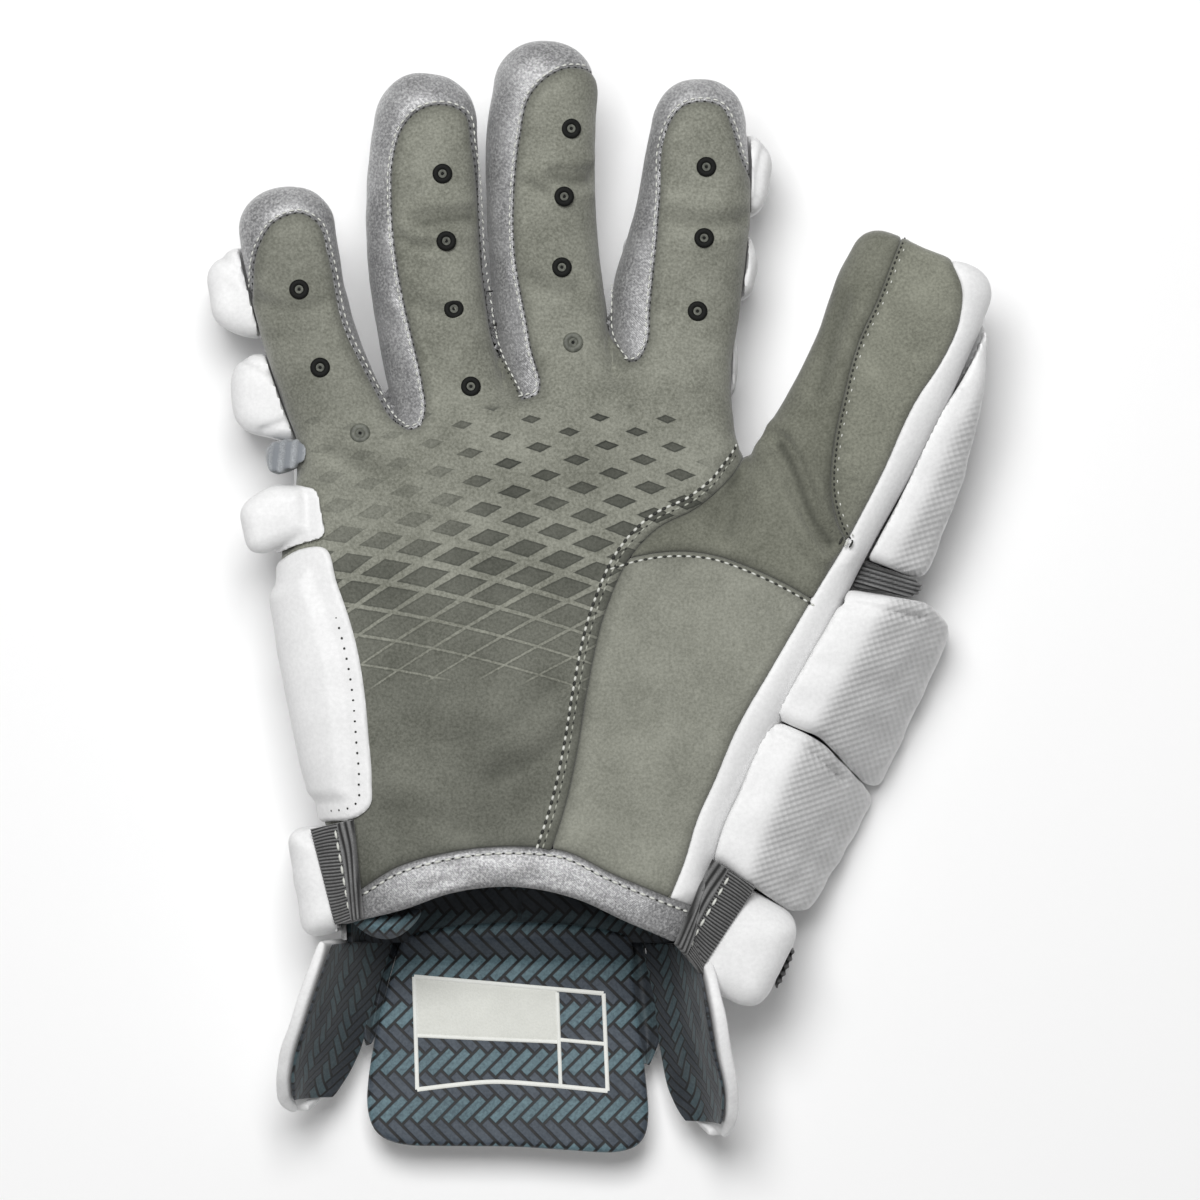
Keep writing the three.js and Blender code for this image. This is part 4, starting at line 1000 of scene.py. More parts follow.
# %% Pads of the back, the fingers and the thumb
# outline, lower and upper face, how far the edges are rounded
PADS = {
    "pinky_pad_tip": ([(-115.9, 97.6), (-107.5, 105), (-77.5, 99), (-74.5, 80), (-104, 77.5),
                       (-113.8, 82)], 8, 42, 4.5),
    "pinky_pad_middle": ([(-109, 66), (-104.5, 72.5), (-71, 74), (-65.5, 54), (-90, 46.5),
                          (-106.8, 50.5)], 7, 42, 4.5),
    "ring_pad_tip": ([(-67, 136), (-36.5, 136), (-36.5, 114), (-67, 114)], 9, 33, 6.25),
    "ring_pad_middle": ([(-67.5, 111), (-35.5, 111), (-34, 87.5), (-66, 87.5)], 8, 33, 6.25),
    "ring_pad_base": ([(-65.5, 84.5), (-33.5, 84.5), (-28, 62.5), (-60, 60.5)], 7, 33, 6.25),
    "middle_pad_tip": ([(-32, 145), (-1.5, 145), (-1.5, 122), (-32, 122)], 9, 33, 6.25),
    "middle_pad_middle": ([(-32, 119), (-1, 119), (0, 94.5), (-30.5, 94.5)], 8, 33, 6.25),
    "middle_pad_base": ([(-30, 91.5), (0.5, 91.5), (4, 65.5), (-25.5, 65.5)], 7, 33, 6.25),
    "index_pad_tip": ([(14.5, 136), (47.5, 137.8), (52, 131), (50, 117.5), (45, 113),
                       (12.5, 112)], 9, 42, 6.25),
    "index_pad_middle": ([(8, 109), (45, 109.5), (47.8, 100), (45.5, 89), (6, 87.5)], 8, 41, 6.25),
    "index_pad_base": ([(6, 84.5), (40, 84.5), (42, 70), (40, 58.5), (8, 59.5)], 7, 40, 6.25),
    "knuckle_roll_outer": ([(-90, 47), (-33, 58), (-32, 22), (-91, 17.5)], 2, 27, 7.5),
    "knuckle_roll_inner": ([(-30.5, 56), (-24, 61.5), (4.5, 61.5), (8, 56), (37, 55), (38, 27),
                            (-31, 22)], 2, 27, 7.5),
    "backhand_roll_upper": ([(-91, 14.5), (38, 24), (28.5, -24), (-89, -24)], 0, 27, 8.75),
    "backhand_roll_lower": ([(-88.5, -26.5), (26, -26.5), (10.5, -66), (-81, -66)], 0, 27, 8.75),
    "thumb_roll_upper": ([(46, 4), (73.5, 3.2), (98, -0.8), (105.6, -9), (84.8, -56), (79.5, -55),
                          (66, -40.6), (50, -34), (31, -26)], 1, 54, 3.6),
    "thumb_roll_lower": ([(30.3, -26.3), (49.5, -34.2), (65.3, -41.1), (80.2, -55.9), (82.6, -60.6),
                          (63, -92.9), (57, -92), (33.8, -76.5), (14, -66)], 1, 54, 3.6),
    "thumb_cap": ([(82, 101), (104, 98), (115, 80), (114.4, 62), (108.5, 36), (98, 8), (94.5, 6.4),
                   (78, 12.6), (60, 32), (57, 50), (66, 76)], 5, 48, 3.6),
    "wrist_pad_left": ([(-92, -68.2), (-78, -66.6), (-70, -97), (-86.6, -100)], 3, 50, 6.25),
    "wrist_pad_centre": ([(-73, -68.4), (10, -68.4), (10, -100), (-66, -100)], 0, 30, 7.5),
    "wrist_pad_right": ([(33.4, -78), (56.8, -92.4), (59.8, -98), (49.5, -119), (43.5, -120.3),
                         (12, -105)], 2, 48, 7.5),
    "thumb_flex_strip": ([(72, 13), (97, 5.6), (94.5, 0), (70, 5.2)], 12, 42, 3),
    "pinky_flex_strip": ([(-98.6, 46.2), (-88.5, 48), (-84.2, 45.4), (-85.6, 40), (-97, 36)], 29, 51, 1.6),
    "wrist_strap_tab": ([(57.5, -103.1), (59, -103.8), (53.7, -115.5), (52.2, -114.8)], 16, 34, 0.5),
}
SEAT_GAP = 0.35
# from the piping's inner seam: where a thumb pad begins, and where its top starts to slope
THUMB_PADS = {"thumb_roll_upper": (7.6, 18), "thumb_roll_lower": (7.6, 18), "thumb_cap": (7.7, 13)}
ROLL_SLOPE, ROLL_CURVE = 0.5, 0.04
piping_outline, binding_outline = OUTLINES["thumb_piping"][1], OUTLINES["cuff_binding"][1]
# hems that are sewn down on a pad, as lines seen from above
PAD_HEMS = {
    "pinky_pad_tip": [[(-112, 102.5), (-106, 97), (-100, 90)]],
    "pinky_pad_middle": [[(-106, 72), (-99, 69), (-92, 62)], [(-99, 50), (-92, 52.5), (-84, 53)]],
    "index_pad_tip": [[(50, 136), (48, 128), (47, 118)]],
    "thumb_roll_upper": [[(56, 0.5), (74, -1), (96, -5.5)]],
    "thumb_roll_lower": [[(52, -39), (64, -45), (74, -54)]],
}
# below this the piping's seam turns under the cuff, and the thumb pads follow it straight on
PIPING_TURNS = -80
straight = seam["piping"][seam["piping"][:, 1] > PIPING_TURNS]
ahead = (straight[-1] - straight[-6]) / np.linalg.norm(straight[-1] - straight[-6])
onward = straight[-1] + 100 * ahead
outer_side = joined(
    straight, onward, (FAR, -2 * FAR), (2 * FAR, -2 * FAR), (2 * FAR, 130), (96, 130))


def past_piping(plan):
    """How far outward a point lies from the piping's inner seam, less than 0 on the palm's side."""
    return -outline_distance(plan, outer_side)


def pad_field(axes, outline, low, high, edge, crown, begins=None, slopes=None):
    """An outline between two faces: the distance to its wall and to its faces, rounded by edge where both are
    near. The upper face is crowned. A thumb pad begins beside the piping, and its top slopes outward."""
    plan = floor_plan(axes)
    wall = outline_distance(plan, outline)[:, None]
    z = axes[2][None]
    roof = high + crown * (1 - np.exp(np.minimum(wall, 0) / 6))
    if begins:
        out = past_piping(plan)[:, None]
        past = 1.5 * np.logaddexp(0, (out - slopes) / 1.5)
        roof = roof - ROLL_SLOPE * past - ROLL_CURVE * past**2
    a, b = wall + edge, np.maximum(z - roof, low - z) + edge
    body = np.hypot(np.maximum(a, 0), np.maximum(b, 0)) + np.minimum(np.maximum(a, b), 0) - edge
    if begins:
        body = -smooth_min(-body, -np.minimum(begins - out, z - THUMB_LOW), 0.9)
    return body.reshape([len(axis) for axis in axes])


def seated(field, axes):
    """A pad's field with the hand, its piping and its binding taken out of it."""
    points = np.stack(np.meshgrid(*axes, indexing="ij"), -1).reshape(-1, 3)
    skin = read_hand(points)[0].reshape(field.shape)
    plan = floor_plan(axes)
    trims = [(outline_distance(plan, outline) < 0.5).reshape(*field.shape[:2], 1) & (axes[2] > low - 1)
             for outline, low in ((piping_outline, THUMB_LOW), (binding_outline, PALM_LOW))]
    room = SEAT_GAP + 1.2 * (trims[0] | trims[1])
    return -smooth_min(-field, skin - room, 0.8)


# %% Build the pads
# the way that the ribs follow each other, how far apart they are, and the material
RIBBED = {
    "thumb_flex_strip": ((7.4, 25, 0), 1.5, elastic), "pinky_flex_strip": ((1, -0.1, 0.3), 3.4, grey_elastic),
    "wrist_strap_tab": ((4.5, 11, 0), 2.4, elastic)}


PAD_STEP, SLIM_STEP, PAD_MARGIN = 1.15, 0.5, 4


def pad_axes(outline, low, high, step=PAD_STEP):
    """A grid that holds a pad with some room to spare."""
    near, far = np.array([*outline.min(0), low]) - PAD_MARGIN, np.array([*outline.max(0), high]) + PAD_MARGIN
    return [np.arange(a, b, step) for a, b in zip(near, far)]


for name, (corners, low, high, edge) in PADS.items():
    begins, slopes = THUMB_PADS.get(name, (None, None))
    outline = soft_corners(corners, 1.8 if begins else 2.5)
    slim = name in RIBBED
    axes = pad_axes(outline, low, high, SLIM_STEP if slim else PAD_STEP)
    field = pad_field(axes, outline, low, high, edge, 0 if slim else 2.0, begins, slopes)
    points, quads = surface(seated(field, axes), axes)
    slope = reader(field, axes)(points)[1]
    clear = ease(np.abs(read_hand(points)[0]), 1, 5)
    if slim:
        way, pitch, material = RIBBED[name]
        ribs = np.cos(2 * np.pi * (points @ np.array(way, float)) / np.linalg.norm(way) / pitch)
        points += slope * (0.35 * (ribs - 1) * ease(points[:, 2], low, low + 3))[:, None]
        piece(name, points, quads, material, [name], {"rib": ribs})
        continue
    points += slope * (0.25 * swell(points, 12, 7) * clear)[:, None]
    for hem in PAD_HEMS.get(name, []):
        beside_hem = line_distance(points[:, :2], through(hem))
        points -= slope * (0.9 * np.exp(-((beside_hem / 1.1) ** 2)) * ease(points[:, 2], 28, 36))[:, None]
    points[:, 2] = np.maximum(points[:, 2], low)
    out = past_piping(points[:, :2])
    facing_up = slope[:, 2] / np.maximum(np.linalg.norm(slope, axis=1), 1e-6)
    # the dimple attribute also greys the cloth: partly a greyer cloth, partly painted shade on the outward
    # slope
    dimple = np.zeros(len(points))
    if begins:
        dimple = ease(out, slopes - 1, slopes + 5) * ease(facing_up, 0.12, 0.35)
    material = dimpled_shaded_white if begins else smooth_white
    made = piece(name, points, quads, material, [name], {"dimple": dimple})

# %% [markdown]
# ## Side panel and knuckle side pad
# On the little finger's side a white panel is sewn over the palm: a flat margin with rows of tiny holes,
# then a long soft bulge. It is cut from the same skin as the palm, but lifted off it.

# %% Side panel
SIDE_PANEL = through([
    (-94, 10.6), (-87.8, 14.6), (-80.1, 15.3), (-76.6, 5.3), (-73, -5), (-70.1, -16.2), (-68.3, -27.4),
    (-67.1, -40.4), (-66.2, -53.4), (-66.8, -60.8), (-69.5, -63.2), (-83.6, -65.4)])
side_outline = joined(SIDE_PANEL, (-FAR, -65.4), (-FAR, 9))
side_value = np.maximum(outline_distance(hand_points[:, :2], side_outline), BACK_LOW - hand_points[:, 2])
rows, faces = cut_out(hand_rows, hand_faces, side_value, rings=(0.4, 1.1, 3.0, 5.0))
points, normals, depth = rows[:, :3], rows[:, 3:6], rows[:, -1]
rise = 1.6 - 0.8 * (1 - ease(depth, 0, 0.8)) + 1.9 * ease(depth, 5.2, 10) + 0.25 * swell(points, 16, 9)
solid, walls = shell(points, normals, faces, rise, np.full(len(points), SEAT_GAP))
made = piece("side_panel", solid, walls, smooth_white, ["side_panel"])

# %% Knuckle side pad with its sewn margin
corners = [(-102.5, 26), (-99, 30), (-92, 33.8), (-82.5, 33), (-79.8, 18.4), (-88, 16.4), (-96, 13),
           (-100, 14.5)]
outline = soft_corners(corners, 1.5)
axes = pad_axes(outline, 29, 62, 0.8)
block = seated(pad_field(axes, outline + [-3.2, 0.3], 29, 55, 4.5, 1.5), axes)
grid_points = np.stack(np.meshgrid(*axes, indexing="ij"), -1).reshape(-1, 3)
skin = read_hand(grid_points)[0].reshape(block.shape)
margin = np.maximum(outline_distance(floor_plan(axes), outline).reshape(*block.shape[:2], 1), 29 - axes[2])
margin = np.max([margin, skin - 2.0, SEAT_GAP - skin], axis=0)
points, quads = surface(smooth_min(block, margin, 1.2), axes)
made = piece("knuckle_side_pad", points, quads, smooth_white, ["knuckle_side_pad"])

# %% [markdown]
# ## The cuff
# Three padded flaps flare from the wrist. The two at the sides stand up and show their printed inner face
# and a white edge; the middle one lies flat and carries a size label. A flap is a slab: a middle surface
# with a thickness that falls to nothing at its border, so the rim comes out round.

# %% A slab round a middle surface
def sheet_grid(count_u, count_v):
    """Two parameters from 0 to 1, closer together near their ends, where an edge turns over."""
    spread = [0.5 - 0.5 * np.cos(np.pi * np.linspace(0, 1, n)) for n in (count_u, count_v)]
    return np.meshgrid(*spread, indexing="ij")


def slab(middle, thick, u, v, squareness=5, facing=(0, 0, 1), lift=0.0):
    """Two sheets half a thickness to each side of the middle, joined along its border, with the one that
    faces that way raised by lift."""
    across = np.cross(np.gradient(middle, axis=0), np.gradient(middle, axis=1))
    normal = across / np.maximum(np.linalg.norm(across, axis=2, keepdims=True), 1e-9)
    full = ((1 - np.abs(2 * u - 1) ** squareness) * (1 - np.abs(2 * v - 1) ** squareness)) ** (1 / squareness)
    turned = (normal.mean((0, 1)) @ np.array(facing, float)) < 0
    away = -1 if turned else 1
    top = middle + away * normal * (full * (thick / 2 + lift))[..., None]
    bottom = middle - away * normal * (full * thick / 2)[..., None]
    n, m = u.shape
    upper = np.arange(n * m).reshape(n, m)
    lower = upper + n * m
    lower[[0, -1]], lower[:, [0, -1]] = upper[[0, -1]], upper[:, [0, -1]]
    quad = [np.stack([i[:-1, :-1], i[1:, :-1], i[1:, 1:], i[:-1, 1:]], -1).reshape(-1, 4)
            for i in (upper, lower)]
    if turned:
        quad.reverse()
    faces = np.concatenate([quad[0], quad[1][:, ::-1]])
    return compact(np.concatenate([top.reshape(-1, 3), bottom.reshape(-1, 3)]), faces)


# %% Standing flaps
# y, where the inner face begins (x, z) and where its rim is (x, z)
FLAPS = {
    "left": (-1, [(-100.65, -60, 15, -77.5, 55), (-112, -63.8, 14, -81.5, 55),
                  (-124, -67.3, 13.5, -85.5, 53), (-136, -71, 14, -89.2, 48), (-144, -75.4, 15.5, -89.8, 43),
                  (-149, -79.4, 20, -88.2, 37), (-151, -82.4, 26, -85.6, 32)]),
    "right": (1, [(-101.2, 12.6, 15, 25.6, 46), (-108, 14, 14.5, 29.2, 52), (-118, 16, 14, 31.6, 55),
                  (-133, 18, 13.5, 34.2, 53), (-148, 21.8, 14.5, 36.8, 46), (-155.4, 26, 19.5, 35.4, 39),
                  (-158.4, 29.6, 26.5, 33.2, 33)]),
}
FLAP_THICK, LINING_THICK, FLAP_BOW = 6.2, 1.4, 3


def flap_surface(outward, rows, depth, u, v):
    """Points at a depth behind a flap's inner face: u runs along the wrist, v from the base to the rim."""
    rows = np.array(rows, float)
    knots = -rows[:, 0]
    y, base_x, base_z, rim_x, rim_z = np.moveaxis(
        cubic(rows, knots, (knots[0] + u * (knots[-1] - knots[0])).ravel()).reshape(*u.shape, 5), -1, 0)
    across, up = rim_x - base_x, rim_z - base_z
    length = np.hypot(across, up)
    out = FLAP_BOW * np.sin(np.pi * v) + depth
    x = base_x + across * v + outward * np.abs(up) / length * out
    z = base_z + up * v - np.abs(across) / length * out
    return np.stack([x, y, z], -1)


for side, (outward, flap_rows) in FLAPS.items():
    u, v = sheet_grid(64, 40)
    middle = flap_surface(outward, flap_rows, LINING_THICK + (FLAP_THICK - LINING_THICK) / 2 + 0.1, u, v)
    ripple = 0.5 * swell(middle.reshape(-1, 3), 20, 11).reshape(u.shape)
    points, quads = slab(middle, FLAP_THICK - LINING_THICK - 0.2, u, v, facing=(outward, 0, 0), lift=ripple)
    made = piece(f"cuff_flap_{side}", points, quads, smooth_white, [f"cuff_flap_{side}"])
    middle = flap_surface(outward, flap_rows, LINING_THICK / 2, 0.015 + 0.925 * u, 0.95 * v)
    points, quads = slab(middle, LINING_THICK, u, v, facing=(-outward, 0, 0), lift=ripple)
    cloth = points[:, [1, 2]] * [1.2, 1.3]
    made = piece(f"cuff_flap_{side}_lining", points, quads, shaded_inner_print,
                 [f"cuff_flap_{side}_lining"], maps={"cloth": cloth})

# %% The flat flap and its lining
FLAP_SIDES = [
    (-58.5, -100.7), (-65.5, -124.5), (-68.4, -141.6), (-69, -152), (-66, -159.6), (-58, -162.6),
    (-24.3, -162.8),
    (5.8, -164.9), (13.4, -162.2), (15.6, -154.9), (14, -137.8), (11.6, -118), (10.5, -100.7)]
CENTRE_FLAP = soft_corners(FLAP_SIDES, 3)
# where its lining ends inside the wrist
LINING_LIP = [(7, -98.5), (-8, -96.3), (-24, -95.5), (-42, -96.6), (-55, -99)]
FLAP_LINING = soft_corners(FLAP_SIDES + LINING_LIP, 3)
LIP_FROM, LIP_TO, LIP_RISE = -109, -99.5, 7.4
CURL_FROM, CURL_RISE = -112, 0.0022


def curled(points):
    """The flap's end lifted off the floor, by the square of the distance past where the curl begins."""
    past = np.maximum(CURL_FROM - points[:, 1], 0)
    return points + np.stack([0 * past, 0 * past, CURL_RISE * past**2], 1)


def flap_layer(outline, low, high, edge, crown, step):
    """A layer of the flat flap as a crowned pad."""
    axes = pad_axes(outline, low, high, step)
    return surface(pad_field(axes, outline, low, high, edge, crown), axes)


points, quads = flap_layer(CENTRE_FLAP, 2, 9.3, 3, 0, 0.9)
made = piece("cuff_flap_centre", curled(points), quads, smooth_white, ["cuff_flap_centre"])
points, quads = flap_layer(FLAP_LINING, 9.5, 12.4, 1.35, 1.6, 0.78)
upper = points[:, 2] > 11
flap_depth = -outline_distance(points[:, :2], FLAP_LINING)
points[:, 2] += upper * 0.55 * swell(points, 26, 15) * ease(flap_depth, 2, 9)
flap_top = curled(points)
flap_top[:, 2] += LIP_RISE * ease(points[:, 1], LIP_FROM, LIP_TO)
made = piece("cuff_flap_centre_lining", flap_top, quads, lining_print,
             ["cuff_flap_centre_lining"],
             maps={"cloth": points[:, :2]})


# %% Lining between the flaps
# the flat flap's edge and the standing flap's foot, from the wrist to where they part
WEBS = {
    "left": ([(-55, -99), (-59.5, -104), (-63, -115), (-65.6, -127), (-67.9, -132.4)],
             [(-62, -99), (-64.5, -106), (-67, -115), (-69.4, -127), (-68.7, -132.8)]),
    "right": ([(7.5, -99), (10, -106), (11, -118), (12.5, -130), (14.2, -138.2)],
             [(15, -99), (16, -106), (17.5, -118), (18.2, -130), (15.1, -138.6)]),
}
for side, (near_edge, far_edge) in WEBS.items():
    u, v = sheet_grid(40, 14)
    inner_line, outer_line = (
        cubic(np.array(line, float), np.arange(5.0), 4 * u[:, 0]) for line in (near_edge, far_edge))
    plan = inner_line[:, None] * (1 - v[..., None]) + outer_line[:, None] * v[..., None]
    curl = CURL_RISE * np.maximum(CURL_FROM - plan[..., 1], 0) ** 2
    height = 11.6 + curl * (1 - v) + 2.8 * v - 2.2 * np.sin(np.pi * v)
    points, quads = slab(np.dstack([plan, height]), 1.2, u, v, squareness=8)
    made = piece(f"lining_web_{side}", points, quads, shaded_inner_print,
                 maps={"cloth": points[:, :2]})

# %% A fold of the lining in the corner of the cuff
CORNER_STEP = 0.6
axes = [np.arange(a, b, CORNER_STEP) for a, b in ((-80, -48), (-110, -84), (26, 60))]
x, y, z = np.meshgrid(*axes, indexing="ij")
bent = y + 95.5 - 0.035 * (x + 62) ** 2
level = np.sqrt(((x + 64) / 12) ** 2 + (bent / 4.6) ** 2 + ((z - 44) / 9) ** 2)
fold_field = as_distance(level, CORNER_STEP)
skin = read_hand(np.stack([x, y, z], -1).reshape(-1, 3))[0].reshape(x.shape)
points, quads = surface(np.maximum(fold_field, skin + 3.4), axes)
points += 0.3 * swell(points, 7, 31)[:, None] * [0, 1, 1]
made = piece("lining_fold", points, quads, lining_print,
             maps={"cloth": points[:, :2] * 1.3})

# %% [markdown]
# ## Elastic straps
# Two short elastic straps tie the palm's lower corners to the wrist pads. Each has fine ribs across it,
# and a folded, stitched edge whose ribs run along it. The ribs are real geometry: they catch the light
# from every side.

# %% Straps
# four corners: outer and inner at the palm, then inner and outer at the wrist pad
STRAPS = {
    "elastic_strap_left": [(-84.5, -67.4, 51.5), (-71.5, -64.4, 59), (-68.6, -93.5, 59.5),
                           (-77, -95.6, 51.5)],
    "elastic_strap_right": [(46.5, -84.7, 50), (33.8, -76.1, 54), (21.1, -100.9, 56.5), (29.4, -110.3, 50)],
}
STRAP_WIDTH, STRAP_THICK, STRAP_ROOM = 13, 1.6, 2.2
RIB_PITCH, FOLD_PITCH, FOLD_FROM = 0.95, 1.65, 0.62
strap_lines = {}


def strap_place(corners, u, v):
    """A point of the crowned strap: u from the palm to the wrist pad, v from outer to inner edge."""
    a, b, c, d = np.array(corners, float)
    u, v = u[..., None], v[..., None]
    flat = (a + (d - a) * u) * (1 - v) + (b + (c - b) * u) * v
    return flat + np.array([0, 0, 0.9]) * np.sin(np.pi * v)


def off_the_skin(points, room):
    """Points pushed out along the skin's slope until they clear it by room."""
    for _ in range(4):
        value, slope = read_hand(points)
        slope = slope / np.maximum(np.linalg.norm(slope, axis=1), 1e-6)[:, None]
        points = points + slope * np.maximum(room - value, 0)[:, None]
    return points


for name, corners in STRAPS.items():
    v, u = np.meshgrid(np.linspace(0, 1, 33), np.linspace(0, 1, 171))
    middle = off_the_skin(strap_place(corners, u, v).reshape(-1, 3), STRAP_ROOM).reshape(*u.shape, 3)
    along, across = u * np.linalg.norm(np.subtract(corners[3], corners[0])), v * STRAP_WIDTH
    folded = ease(v, FOLD_FROM, FOLD_FROM + 0.03)
    bend = 0.5 * np.sin(3.1 * v + 5 * u)
    pitch = np.where(folded > 0.5, FOLD_PITCH, RIB_PITCH)
    ribs = np.sin(2 * np.pi * (np.where(folded > 0.5, across, along) + bend) / pitch)
    middle[..., 2] += 0.35 * np.sin(9 * u + 2 * v) * v
    points, quads = slab(middle, STRAP_THICK, u, v, squareness=14, lift=0.18 * ribs + 0.75 * folded)
    rib = np.concatenate([ribs.ravel(), np.zeros(len(points) - ribs.size)])
    made = piece(name, points, quads, elastic, [name], {"rib": rib})
    low_edge = np.array([FOLD_FROM - 0.07])
    ends = [strap_place(corners, np.array([t]), low_edge)[0] for t in np.linspace(0.06, 0.94, 12)]
    strap_lines[name] = off_the_skin(np.array(ends), 2.2) + [0, 0, 1.1]


# %% [markdown]
# ## Stitches
# A stitch is a short rounded bar that dips at both ends. One small shape is worked out once, and then
# whole arrays of them are laid along a seam, turned to follow it and to stand on the skin, and joined into
# one mesh.

# %% Placing points on the skin
def top_of_hand(xy):
    """Points of the skin straight above these places, found by stepping down the slope of the field."""
    points = np.column_stack([xy, np.full(len(xy), 66.0)])
    for _ in range(40):
        points[:, 2] -= np.clip(read_hand(points)[0], -3, 3) * 0.7
    return points


def beside(line, offset):
    """A curve moved sideways: to its left where offset is above 0."""
    way = np.gradient(line, axis=0)
    way /= np.linalg.norm(way, axis=1)[:, None]
    return line + offset * np.stack([-way[:, 1], way[:, 0]], 1)


# %% Laying stitches along a curve
def stitch_shape(rings=5, sides=6):
    """A bar of length, width and height 1: round in section, thin at its ends."""
    turns = np.linspace(0, 2 * np.pi, sides, endpoint=False)
    t, turn = np.meshgrid(np.linspace(-1, 1, rings), turns, indexing="ij")
    girth = np.sqrt(np.maximum(1 - np.abs(t) ** 3, 0.04))
    points = np.stack([t, np.cos(turn) * girth, np.sin(turn) * girth - 0.5 * t**4], -1).reshape(-1, 3) / 2
    i = np.arange(rings * sides).reshape(rings, sides)
    j = np.roll(i, -1, axis=1)
    body = np.stack([i[:-1], j[:-1], j[1:], i[1:]], -1).reshape(-1, 4)
    return points, [*body.tolist(), i[0][::-1].tolist(), i[-1].tolist()]


def stitch_row(line, pitch, length, width, height, start=0.0, flat=False):
    """Stitches along a line in space: each has its own place and heading, and stands on the skin or flat."""
    knots = lengths(line)
    at = np.arange(start, knots[-1] - length / 2, pitch)
    place = np.stack([np.interp(at, knots, line[:, c]) for c in range(3)], 1)
    ahead = np.stack([np.interp(at + 0.5, knots, line[:, c]) for c in range(3)], 1) - place
    up = np.tile([0.0, 0.0, 1.0], (len(at), 1)) if flat else read_hand(place)[1]
    up /= np.linalg.norm(up, axis=1)[:, None]
    ahead -= (ahead * up).sum(1)[:, None] * up
    ahead /= np.linalg.norm(ahead, axis=1)[:, None]
    across = np.cross(up, ahead)
    bar, _ = stitch_shape()
    size = (length, width, height)
    ways = enumerate((ahead, across, up))
    return place[:, None] + sum(bar[None, :, c, None] * size[c] * way[:, None] for c, way in ways)


def stitches(name, rows_of_bars, material):
    """Many rows of stitches as one piece."""
    bars = np.concatenate(rows_of_bars)
    _, faces = stitch_shape()
    data = bpy.data.meshes.new(name)
    count = bars.shape[1]
    everything = [[k + n * count for k in face] for n in range(len(bars)) for face in faces]
    data.from_pydata((bars.reshape(-1, 3) * MM).tolist(), [], everything)
    data.polygons.foreach_set("use_smooth", np.ones(len(data.polygons), bool))
    data.materials.append(material)
    made = bpy.data.objects.new(name, data)
    bpy.context.scene.collection.objects.link(made)
    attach(made, "root")
    print(f"{name}: {len(bars)} stitches")
    return made


def on_skin(line, lift, depth=9.0, low=PALM_LOW + 1):
    """A curve drawn on the upper side of a panel, depth in from its seam, lifted off it, ending at low."""
    points = top_of_hand(line)
    value, slope = read_hand(points)
    rise = (lift + leather_rise(points, depth, LEATHER_SWAY)[0])[:, None]
    points += rise * slope / np.linalg.norm(slope, axis=1)[:, None]
    return points[(np.abs(value) < 0.3) & (points[:, 2] > low)]


# %% The seams that show
# seam, how far beside it, lift, thread, pitch, length, width, height, where the first stitch is
SEWN = [
    ("palm_to_thenar", 4.2, 0.05, "light", 3.0, 1.6, 0.85, 0.75, 0.0),
    ("palm_to_thenar", 4.2, 0.05, "dark", 3.0, 1.6, 0.95, 0.6, 1.5),
    ("palm_to_thenar", 2.6, 0.0, "muted", 3.0, 1.7, 0.6, 0.5, 0.8),
    ("palm_to_thenar", 2.6, 0.0, "dark", 3.0, 1.0, 0.5, 0.4, 2.3),
    ("thenar_stitch", -1.3, 0.05, "light", 2.9, 1.6, 0.65, 0.6, 0.0),
    ("thenar_stitch", -1.3, 0.05, "dark", 2.9, 1.3, 0.7, 0.5, 1.45),
    ("thumb_fold", 0.9, 0.0, "dark", 1.7, 1.1, 0.6, 0.5, 0.0),
    ("thumb_fold", 1.9, 0.0, "light", 3.4, 1.0, 0.4, 0.4, 0.0),
    ("binding_top", -2.0, 0.9, "light", 3.0, 2.0, 0.75, 0.7, 0.0),
    ("binding_top", -2.0, 0.9, "dark", 3.0, 0.9, 0.5, 0.4, 1.5),
]
for name in ("ring_tip", "middle_tip", "index_tip", "pinky_tip"):
    SEWN.append((name, 0.9, -0.15, "light", 2.3, 1.6, 0.55, 0.5, 0.0))
    SEWN.append((name, 0.0, -0.3, "dark", 2.3, 0.8, 0.4, 0.4, 1.1))
SEWN.append(("middle_right", 0.9, -0.15, "light", 2.3, 1.6, 0.55, 0.5, 0.0))
sewn_rows = {"light": [], "dark": [], "muted": []}
for name, offset, lift, thread, *sizes, start in SEWN:
    curve = beside(seam[name], offset) if offset else seam[name]
    line = on_skin(curve, lift, abs(offset))
    sewn_rows[thread].append(stitch_row(line, *sizes, start=start))
for line in strap_lines.values():
    sewn_rows["light"].append(stitch_row(line, 3.5, 2.7, 0.85, 0.8, start=1.5, flat=True))
for k, side in enumerate((-2.2, -1.1, 0, 1.1, 2.2)):
    tack = on_skin(through([(71.5 + side, 17.5 - 0.3 * side), (73 + side, 20.2 - 0.3 * side)]), 0.2)
    sewn_rows["light" if k % 2 else "dark"].append(stitch_row(tack, 4.0, 2.6, 0.8, 0.7))
for name, thread in (("light", light_thread), ("dark", dark_thread), ("muted", muted_thread)):
    stitches(f"stitches_{name}", sewn_rows[name], thread)

# %% Rows of small holes in the side panel
edge_line = SIDE_PANEL[np.argmax(SIDE_PANEL[:, 1]) + 2:]
# painted shade: each hole is a small dark bar standing for the shade inside it
hole_shade_rows = []
line = on_skin(beside(edge_line, -3.3), 1.62)
hole_shade_rows.append(stitch_row(line, 3.1, 0.7, 0.7, 0.3, start=1))
line = on_skin(through([(-86.6, 31), (-85.4, 26), (-84.2, 20)]), 2.0)
hole_shade_rows.append(stitch_row(line, 2.6, 0.75, 0.75, 0.3, start=1))
stitches("side_panel_hole_shades", hole_shade_rows, dark_thread)
